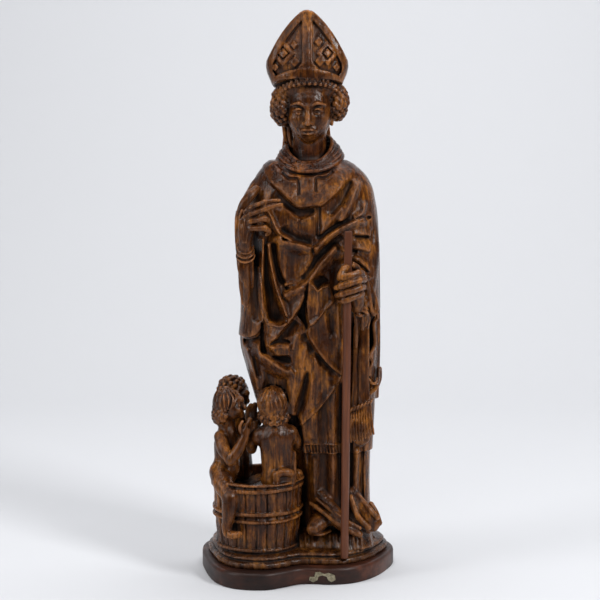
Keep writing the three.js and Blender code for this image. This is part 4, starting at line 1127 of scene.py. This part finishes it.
CORNERS = [(dx, dy, dz) for dx in (0, 1) for dy in (0, 1) for dz in (0, 1)]


def sample(points, grid):
    """A grid's value at points, read between its places."""
    place = (points - LOW) / VOXEL
    low = np.clip(np.floor(place).astype(int), 0, np.array(grid.shape) - 2)
    t = np.clip(place - low, 0, 1)
    total = np.zeros(len(points))
    for corner in CORNERS:
        part = [t[:, i] if corner[i] else 1 - t[:, i] for i in range(3)]
        total += part[0] * part[1] * part[2] * grid[tuple((low + corner).T)]
    return total


def surface():
    """Vertices and quads where the field changes sign, one vertex to each crossed cell."""
    inside = field < 0
    size = [n - 1 for n in field.shape]
    filled = np.zeros(size, dtype=np.int8)
    for dx, dy, dz in CORNERS:
        filled += inside[dx : dx + size[0], dy : dy + size[1], dz : dz + size[2]]
    active = (filled > 0) & (filled < 8)
    cells = np.argwhere(active)
    number = np.full(size, -1, dtype=np.int32)
    number[active] = np.arange(len(cells))
    total = np.zeros((len(cells), 3))
    count = np.zeros(len(cells))
    for first in CORNERS:
        for axis in range(3):
            if first[axis]:
                continue
            second = list(first)
            second[axis] = 1
            a = field[tuple((cells + first).T)]
            b = field[tuple((cells + second).T)]
            crossed = (a < 0) != (b < 0)
            t = a / np.where(crossed, a - b, 1)
            place = np.tile(np.array(first, dtype=float), (len(cells), 1))
            place[:, axis] += t
            total[crossed] += place[crossed]
            count[crossed] += 1
    points = LOW + VOXEL * (cells + total / count[:, None])
    quads = []
    for axis in range(3):
        b, c = (axis + 1) % 3, (axis + 2) % 3
        here = [slice(1, -1)] * 3
        there = [slice(1, -1)] * 3
        here[axis] = slice(0, -1)
        there[axis] = slice(1, None)
        first, second = inside[tuple(here)], inside[tuple(there)]
        for leaving in (True, False):
            edges = np.argwhere(first & ~second if leaving else ~first & second)
            shift = np.ones(3, dtype=int)
            shift[axis] = 0
            edges = edges + shift
            ring = []
            for db, dc in ((-1, -1), (0, -1), (0, 0), (-1, 0)):
                step = np.zeros(3, dtype=int)
                step[b], step[c] = db, dc
                ring.append(number[tuple((edges + step).T)])
            ring = np.array(ring).T
            quads.append(ring if leaving else ring[:, ::-1])
    return points, np.vstack(quads)


def in_scene(name, data):
    obj = bpy.data.objects.new(name, data)
    bpy.context.scene.collection.objects.link(obj)
    return obj


def mesh_object(name, points, faces):
    mesh = bpy.data.meshes.new(name)
    faces = np.asarray(faces)
    corners = faces.shape[1]
    mesh.vertices.add(len(points))
    mesh.vertices.foreach_set("co", (np.asarray(points) * MM).astype(np.float32).ravel())
    mesh.loops.add(faces.size)
    mesh.loops.foreach_set("vertex_index", faces.astype(np.int32).ravel())
    mesh.polygons.add(len(faces))
    mesh.polygons.foreach_set("loop_start", np.arange(0, faces.size, corners, dtype=np.int32))
    mesh.update(calc_edges=True)
    mesh.validate()
    return in_scene(name, mesh)


def slim(obj, triangles):
    """Leaves the object's mesh with no more than so many triangles."""
    now = sum(len(p.vertices) - 2 for p in obj.data.polygons)
    if now > triangles:
        modifier = obj.modifiers.new("slim", "DECIMATE")
        modifier.ratio = triangles / now
        made = bpy.data.meshes.new_from_object(
            obj.evaluated_get(bpy.context.evaluated_depsgraph_get())
        )
        obj.modifiers.clear()
        # Slimming can leave a few doubled faces, which come out here
        made.validate()
        obj.data = made
    obj.data.polygons.foreach_set("use_smooth", [True] * len(obj.data.polygons))


def largest_piece(points, faces):
    """Drops any loose crumbs, keeping what hangs together with the biggest piece."""
    label = np.arange(len(points))
    for _ in range(200):
        low = label[faces].min(axis=1)
        new = label.copy()
        for i in range(faces.shape[1]):
            np.minimum.at(new, faces[:, i], low)
        new = new[new]
        if np.array_equal(new, label):
            break
        label = new
    values, counts = np.unique(label, return_counts=True)
    keep = label == values[counts.argmax()]
    renumber = np.cumsum(keep) - 1
    return points[keep], renumber[faces[keep[faces].all(axis=1)]]


def shade_places(obj):
    """Stores, for the material, how much wood stands round each place of the carving: the material
    paints shade into hollows and lightens open ridges from it.
    """
    mesh = obj.data
    count = len(mesh.vertices)
    points = np.empty(count * 3, dtype=np.float32)
    mesh.vertices.foreach_get("co", points)
    points = points.reshape(-1, 3) / MM
    normals = np.empty(count * 3, dtype=np.float32)
    mesh.vertex_normals.foreach_get("vector", normals)
    normals = normals.reshape(-1, 3)
    wood = (field < 0).astype(np.float32)
    for name, reach, away in (("near_wood", 4.0, 1.5), ("far_wood", 11.0, 5.0)):
        grid = softened(wood, max(1, round(reach / VOXEL)))
        values = sample(points + normals * away, grid)
        layer = mesh.attributes.new(name, "FLOAT", "POINT")
        layer.data.foreach_set("value", values.astype(np.float32))


points, faces = surface()
points, faces = largest_piece(points, faces)
carving = mesh_object("oak_carving", points, faces)
slim(carving, MOST_TRIANGLES)
shade_places(carving)


# The plinth board, the staff and the label


def lofted(name, rings):
    """A closed mesh through rings of as many points each, smooth with flat ends."""
    count = len(rings[0])
    quads = []
    for r in range(len(rings) - 1):
        for i in range(count):
            j = (i + 1) % count
            quads.append((r * count + i, r * count + j, (r + 1) * count + j, (r + 1) * count + i))
    top = (len(rings) - 1) * count
    caps = [tuple(range(count))[::-1], tuple(range(top, top + count))]
    points = [(x * MM, y * MM, z * MM) for ring in rings for x, y, z in ring]
    mesh = bpy.data.meshes.new(name)
    mesh.from_pydata(points, [], quads + caps)
    mesh.polygons.foreach_set("use_smooth", [True] * len(quads) + [False, False])
    return in_scene(name, mesh)


def plinth():
    """The board, with its top and bottom edges worn round."""
    rings = []
    for z, inset in ((0.0, 1.6), (0.4, 0.6), (1.6, 0.0), (20.4, 0.0), (22.6, 0.5), (24.2, 1.8),
                     (24.9, 3.6), (25.0, 6.0)):
        rings.append([(x, y, z) for x, y in drawn_in(plinth_outline(180), inset)])
    return lofted("plinth_board", rings)


def drawn_in(outline, inset):
    """An outline moved inwards by inset."""
    p = np.array(outline)
    along = np.roll(p, -1, axis=0) - np.roll(p, 1, axis=0)
    along /= np.linalg.norm(along, axis=1, keepdims=True)
    return [tuple(q) for q in p + inset * np.stack([-along[:, 1], along[:, 0]], axis=1)]


def staff():
    """A round dowel that passes through the fist and comes out as a flat lath."""
    rows = []
    sides = 32
    a = np.array(STAFF_FOOT)
    b = np.array(STAFF_GRIP)
    c = np.array(STAFF_TOP)
    for t, size in ((0.0, 5.2), (0.003, 5.7), (0.02, 5.9), (0.5, 5.9), (1.0, 5.8)):
        rows.append((a * (1 - t) + b * t, size, size, 2.0))
    for t, wide, deep, power in ((0.12, 5.7, 5.2, 3), (0.3, 5.6, 4.2, 7), (0.7, 5.5, 4.0, 9),
                                 (0.985, 5.4, 3.9, 9), (1.0, 5.0, 3.5, 9)):
        rows.append((b * (1 - t) + c * t, wide, deep, power))
    rings = []
    for place, wide, deep, power in rows:
        ring = []
        for i in range(sides):
            g = 2 * math.pi * (i + 0.5) / sides
            co, si = math.cos(g), math.sin(g)
            ring.append((place[0] + wide * math.copysign(abs(co) ** (2 / power), co),
                         place[1] + deep * math.copysign(abs(si) ** (2 / power), si), place[2]))
        rings.append(ring)
    return lofted("staff_rod", rings)


board = plinth()
rod = staff()

# Materials

OAK_DARK = (0.028, 0.0072, 0.0016)
OAK_MIDDLE = (0.088, 0.0255, 0.0040)
OAK_LIGHT = (0.270, 0.094, 0.013)
OAK_STREAK = (0.016, 0.0045, 0.0015)
OAK_PORE = (0.007, 0.0025, 0.001)
# Near black, for painted shade in hollows and creases, with some grime
OAK_SHADE_AND_GRIME = (0.005, 0.002, 0.001)
# Light orange for open ridges: partly wear, partly a painted highlight
OAK_WORN_HIGHLIGHT = (0.42, 0.165, 0.055)
NECK_TINT = (0.60, 0.46, 0.50)
FOOT_TINT = (0.50, 0.60, 1.0)
# Heights in metres between which the tints come and go
NECK_HEIGHTS = [(0.596, 0.0), (0.612, 1.0), (0.640, 1.0), (0.652, 0.0)]
FOOT_HEIGHTS = [(0.040, 1.0), (0.075, 0.0)]
ROD_DARK = (0.070, 0.020, 0.0075)
ROD_LIGHT = (0.145, 0.045, 0.017)
ROD_STREAK = (0.045, 0.015, 0.009)
BOARD_DARK = (0.012, 0.0045, 0.003)
BOARD_MIDDLE = (0.034, 0.011, 0.006)
BOARD_RUBBED = (0.10, 0.030, 0.014)
BOARD_GRAIN = (0.01, 0.005, 0.004)
METAL_DARK = (0.16, 0.14, 0.09)
METAL_LIGHT = (0.42, 0.37, 0.25)
PAPER = (0.605, 0.613, 0.637)


class Nodes:
    """Short ways to build a node material."""

    def __init__(self, name):
        self.material = bpy.data.materials.new(name)
        self.material.use_nodes = True
        self.tree = self.material.node_tree
        self.shader = self.tree.nodes["Principled BSDF"]
        self.place = self.tree.nodes.new("ShaderNodeTexCoord").outputs["Object"]

    def link(self, a, b):
        self.tree.links.new(a, b)

    def noise(self, scale, stretch, detail, rough):
        mapping = self.tree.nodes.new("ShaderNodeMapping")
        mapping.inputs["Scale"].default_value = stretch
        self.link(self.place, mapping.inputs["Vector"])
        node = self.tree.nodes.new("ShaderNodeTexNoise")
        node.inputs["Scale"].default_value = scale
        node.inputs["Detail"].default_value = detail
        node.inputs["Roughness"].default_value = rough
        self.link(mapping.outputs[0], node.inputs["Vector"])
        return node.outputs["Fac"]

    def ramp(self, value, stops):
        node = self.tree.nodes.new("ShaderNodeValToRGB")
        while len(node.color_ramp.elements) < len(stops):
            node.color_ramp.elements.new(0.5)
        for element, (place, colour) in zip(node.color_ramp.elements, stops):
            element.position = place
            if not isinstance(colour, tuple):
                colour = (colour,) * 3
            element.color = (*colour, 1)
        self.link(value, node.inputs["Fac"])
        return node.outputs["Color"]

    def maths(self, kind, a, b):
        node = self.tree.nodes.new("ShaderNodeMath")
        node.operation = kind
        for socket, value in zip(node.inputs, (a, b)):
            if isinstance(value, (int, float)):
                socket.default_value = value
            else:
                self.link(value, socket)
        return node.outputs[0]

    def share(self, value, stops, most):
        """A ramp scaled down, so that it never goes past most."""
        return self.maths("MULTIPLY", self.ramp(value, stops), most)

    def mix(self, share, a, b, kind="MIX"):
        node = self.tree.nodes.new("ShaderNodeMix")
        node.data_type = "RGBA"
        node.blend_type = kind
        sockets = [s for s in node.inputs if s.type == "RGBA"]
        if isinstance(share, (int, float)):
            node.inputs[0].default_value = share
        else:
            self.link(share, node.inputs[0])
        for socket, value in zip(sockets, (a, b)):
            if isinstance(value, tuple):
                socket.default_value = (*value, 1)
            else:
                self.link(value, socket)
        return [s for s in node.outputs if s.type == "RGBA"][0]

    def attribute(self, name):
        node = self.tree.nodes.new("ShaderNodeAttribute")
        node.attribute_name = name
        return node.outputs["Fac"]

    def bump(self, height, distance, strength, before=None):
        node = self.tree.nodes.new("ShaderNodeBump")
        node.inputs["Distance"].default_value = distance * MM
        node.inputs["Strength"].default_value = strength
        self.link(height, node.inputs["Height"])
        if before is not None:
            self.link(before, node.inputs["Normal"])
        return node.outputs["Normal"]

    def set(self, name, value):
        socket = self.shader.inputs[name]
        if isinstance(value, (int, float)):
            socket.default_value = value
        elif isinstance(value, tuple):
            socket.default_value = (*value, 1) if len(value) == 3 else value
        else:
            self.link(value, socket)


def oak_material():
    n = Nodes("old_oak")
    near = n.attribute("near_wood")
    far = n.attribute("far_wood")
    grain = n.noise(420, (1, 1, 0.06), 3, 0.65)
    streak = n.noise(190, (1, 1, 0.09), 4, 0.65)
    patch_noise = n.noise(38, (1, 1, 0.55), 4, 0.7)
    tool = n.noise(150, (1, 1, 0.5), 3, 0.55)
    warm = n.ramp(patch_noise, [(0.36, OAK_DARK), (0.5, OAK_MIDDLE), (0.64, OAK_LIGHT)])
    streaked = n.mix(n.share(streak, [(0.42, 1.0), (0.56, 0.0)], 0.72), warm, OAK_STREAK)
    pores = n.mix(n.share(grain, [(0.34, 1.0), (0.46, 0.0)], 0.8), streaked, OAK_PORE)
    # Painted shade: where much wood stands round a place, in hollows, creases and under folds, the
    # colour darkens towards near black; mostly shade, partly grime
    close = n.ramp(near, [(0.40, 0.0), (0.62, 1.0)])
    deep = n.ramp(far, [(0.32, 0.0), (0.60, 1.0)])
    shade_and_grime = n.maths("MAXIMUM", close, deep)
    dark = n.mix(n.maths("MULTIPLY", shade_and_grime, 0.95), pores, OAK_SHADE_AND_GRIME)
    # Painted highlight and wear: open ridges with little wood round them are lightened, in patches
    rubbed_and_highlit = n.ramp(near, [(0.10, 1.0), (0.27, 0.0)])
    rubbed_and_highlit = n.maths("MULTIPLY", rubbed_and_highlit, n.ramp(tool, [(0.35, 0.15), (0.65, 1.0)]))
    colour = n.mix(n.maths("MULTIPLY", rubbed_and_highlit, 0.7), dark, OAK_WORN_HIGHLIGHT)
    # The neck cloth is redder and darker, and the foot of the carving greyer
    split = n.tree.nodes.new("ShaderNodeSeparateXYZ")
    n.link(n.place, split.inputs[0])
    height = split.outputs["Z"]
    colour = n.mix(n.share(height, NECK_HEIGHTS, 0.7), colour, NECK_TINT, "MULTIPLY")
    colour = n.mix(n.share(height, FOOT_HEIGHTS, 0.75), colour, FOOT_TINT, "MULTIPLY")
    n.set("Base Color", colour)
    rough = n.ramp(n.noise(60, (1, 1, 0.5), 4, 0.6), [(0.3, 0.16), (0.7, 0.36)])
    n.set("Roughness", n.mix(shade_and_grime, rough, (0.75, 0.75, 0.75)))
    n.set("Specular IOR Level", 0.23)
    normal = n.bump(grain, 0.5, 0.8)
    normal = n.bump(streak, 1.0, 0.6, normal)
    normal = n.bump(tool, 2.0, 0.6, normal)
    n.set("Normal", normal)
    return n.material


def red_material():
    n = Nodes("red_brown_rod")
    streak = n.noise(300, (1, 1, 0.03), 3, 0.6)
    blotch = n.noise(25, (1, 1, 0.3), 3, 0.6)
    base_colour = n.ramp(blotch, [(0.3, ROD_DARK), (0.7, ROD_LIGHT)])
    streaks = n.share(streak, [(0.35, 1.0), (0.6, 0.0)], 0.5)
    n.set("Base Color", n.mix(streaks, base_colour, ROD_STREAK))
    n.set("Roughness", 0.40)
    n.set("Specular IOR Level", 0.3)
    n.set("Normal", n.bump(streak, 0.3, 0.4))
    return n.material


def dark_material():
    n = Nodes("dark_board")
    grain = n.noise(160, (0.12, 1, 1), 4, 0.6)
    blotch = n.noise(22, (0.5, 1, 1), 5, 0.65)
    colour = n.ramp(blotch, [(0.35, BOARD_DARK), (0.52, BOARD_MIDDLE), (0.68, BOARD_RUBBED)])
    n.set("Base Color", n.mix(n.share(grain, [(0.4, 1.0), (0.6, 0.0)], 0.4), colour, BOARD_GRAIN))
    n.set("Roughness", n.ramp(blotch, [(0.3, 0.5), (0.7, 0.36)]))
    n.set("Specular IOR Level", 0.3)
    n.set("Normal", n.bump(grain, 0.3, 0.3))
    return n.material


def metal_material():
    n = Nodes("torn_label")
    blotch = n.noise(220, (1, 1, 1), 4, 0.6)
    n.set("Base Color", n.ramp(blotch, [(0.35, METAL_DARK), (0.7, METAL_LIGHT)]))
    n.set("Metallic", 0.75)
    n.set("Roughness", 0.5)
    n.set("Normal", n.bump(blotch, 0.2, 0.4))
    return n.material


for obj, material in ((carving, oak_material()), (rod, red_material()), (board, dark_material()),
                      (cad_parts["label_remnant"], metal_material())):
    obj.data.materials.clear()
    obj.data.materials.append(material)

for obj, node, slot_name in ((carving, "carved_oak_group", "oak"), (rod, "staff", "red_wood"),
                             (board, "plinth", "dark_wood")):
    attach(obj, "root")
    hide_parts(node)


# Floor, light and camera


# The sheet's front edge, where it starts to bend, its bend, its top and half its width, in metres
SHEET_FRONT = -4.0
SHEET_BEND_START = 1.2
SHEET_BEND_RADIUS = 1.6
SHEET_TOP = 6.0
SHEET_HALF_WIDTH = 6.0
SHEET_BEND_STEPS = 24

# Each light's name, place, what it is aimed at, its size in metres and its watts
LIGHTS = (
    ("key", (1.7, -1.5, 1.8), (0, 0, 0.45), (0.6, 0.8), 55),
    ("fill", (-1.9, -0.9, 1.2), (0, 0, 0.5), (0.6, 1.4), 24),
    ("high", (-0.5, -1.7, 2.1), (0, 0, 0.6), (1.0, 0.8), 9),
    ("wall", (0.3, 0.5, 3.2), (0, 1.9, 0.9), (3.5, 1.5), 100),
)
WORLD_AS_LIGHT = 0.07
WORLD_AS_SEEN = 0.82

CAMERA_PLACE = (0.0036, -2.60, 0.80)
CAMERA_DOWN_DEGREES = 8.44
CAMERA_LENS_MM = 106.36
CAMERA_SENSOR_MM = 36


def floor():
    """A pale sheet that lies on the ground and curves up behind."""
    points = []
    steps = [(SHEET_FRONT, 0.0), (SHEET_BEND_START, 0.0)]
    for i in range(1, SHEET_BEND_STEPS + 1):
        a = math.pi / 2 * i / SHEET_BEND_STEPS
        steps.append((SHEET_BEND_START + SHEET_BEND_RADIUS * math.sin(a),
                      SHEET_BEND_RADIUS - SHEET_BEND_RADIUS * math.cos(a)))
    steps.append((SHEET_BEND_START + SHEET_BEND_RADIUS, SHEET_TOP))
    for y, z in steps:
        points += [(-SHEET_HALF_WIDTH, y, z), (SHEET_HALF_WIDTH, y, z)]
    quads = [(2 * i, 2 * i + 1, 2 * i + 3, 2 * i + 2) for i in range(len(steps) - 1)]
    mesh = bpy.data.meshes.new("pale_floor")
    mesh.from_pydata(points, [], quads)
    mesh.polygons.foreach_set("use_smooth", [True] * len(quads))
    obj = in_scene("pale_floor", mesh)
    material = bpy.data.materials.new("pale_paper")
    material.use_nodes = True
    shader = material.node_tree.nodes["Principled BSDF"]
    shader.inputs["Base Color"].default_value = (*PAPER, 1)
    shader.inputs["Roughness"].default_value = 0.9
    shader.inputs["Specular IOR Level"].default_value = 0.1
    # Clear from its back, so that it never hides the statue
    tree = material.node_tree
    faces_away = tree.nodes.new("ShaderNodeNewGeometry").outputs["Backfacing"]
    choice = tree.nodes.new("ShaderNodeMixShader")
    tree.links.new(faces_away, choice.inputs[0])
    tree.links.new(shader.outputs[0], choice.inputs[1])
    tree.links.new(tree.nodes.new("ShaderNodeBsdfTransparent").outputs[0], choice.inputs[2])
    tree.links.new(choice.outputs[0], tree.nodes["Material Output"].inputs["Surface"])
    mesh.materials.append(material)


def area_light(name, place, aim, size, power):
    data = bpy.data.lights.new(name, "AREA")
    data.shape = "RECTANGLE"
    data.size, data.size_y = size
    data.energy = power
    obj = in_scene(name, data)
    obj.location = place
    way = Vector(aim) - Vector(place)
    obj.rotation_euler = way.to_track_quat("-Z", "Y").to_euler()


def light_and_camera():
    scene = bpy.context.scene
    world = bpy.data.worlds.new("studio")
    world.use_nodes = True
    # Pale to look at, and faint as a light
    tree = world.node_tree
    seen = tree.nodes.new("ShaderNodeLightPath").outputs["Is Camera Ray"]
    strength = tree.nodes.new("ShaderNodeMapRange")
    strength.inputs["To Min"].default_value = WORLD_AS_LIGHT
    strength.inputs["To Max"].default_value = WORLD_AS_SEEN
    tree.links.new(seen, strength.inputs["Value"])
    tree.links.new(strength.outputs["Result"], tree.nodes["Background"].inputs["Strength"])
    tree.nodes["Background"].inputs["Color"].default_value = (0.95, 0.97, 1.0, 1)
    scene.world = world
    for light in LIGHTS:
        area_light(*light)
    data = bpy.data.cameras.new("camera")
    data.sensor_width = CAMERA_SENSOR_MM
    data.lens = CAMERA_LENS_MM
    camera = in_scene("camera", data)
    camera.location = CAMERA_PLACE
    camera.rotation_euler = (math.radians(90 - CAMERA_DOWN_DEGREES), 0, 0)
    scene.camera = camera
    scene.view_settings.view_transform = "Standard"


floor()
light_and_camera()
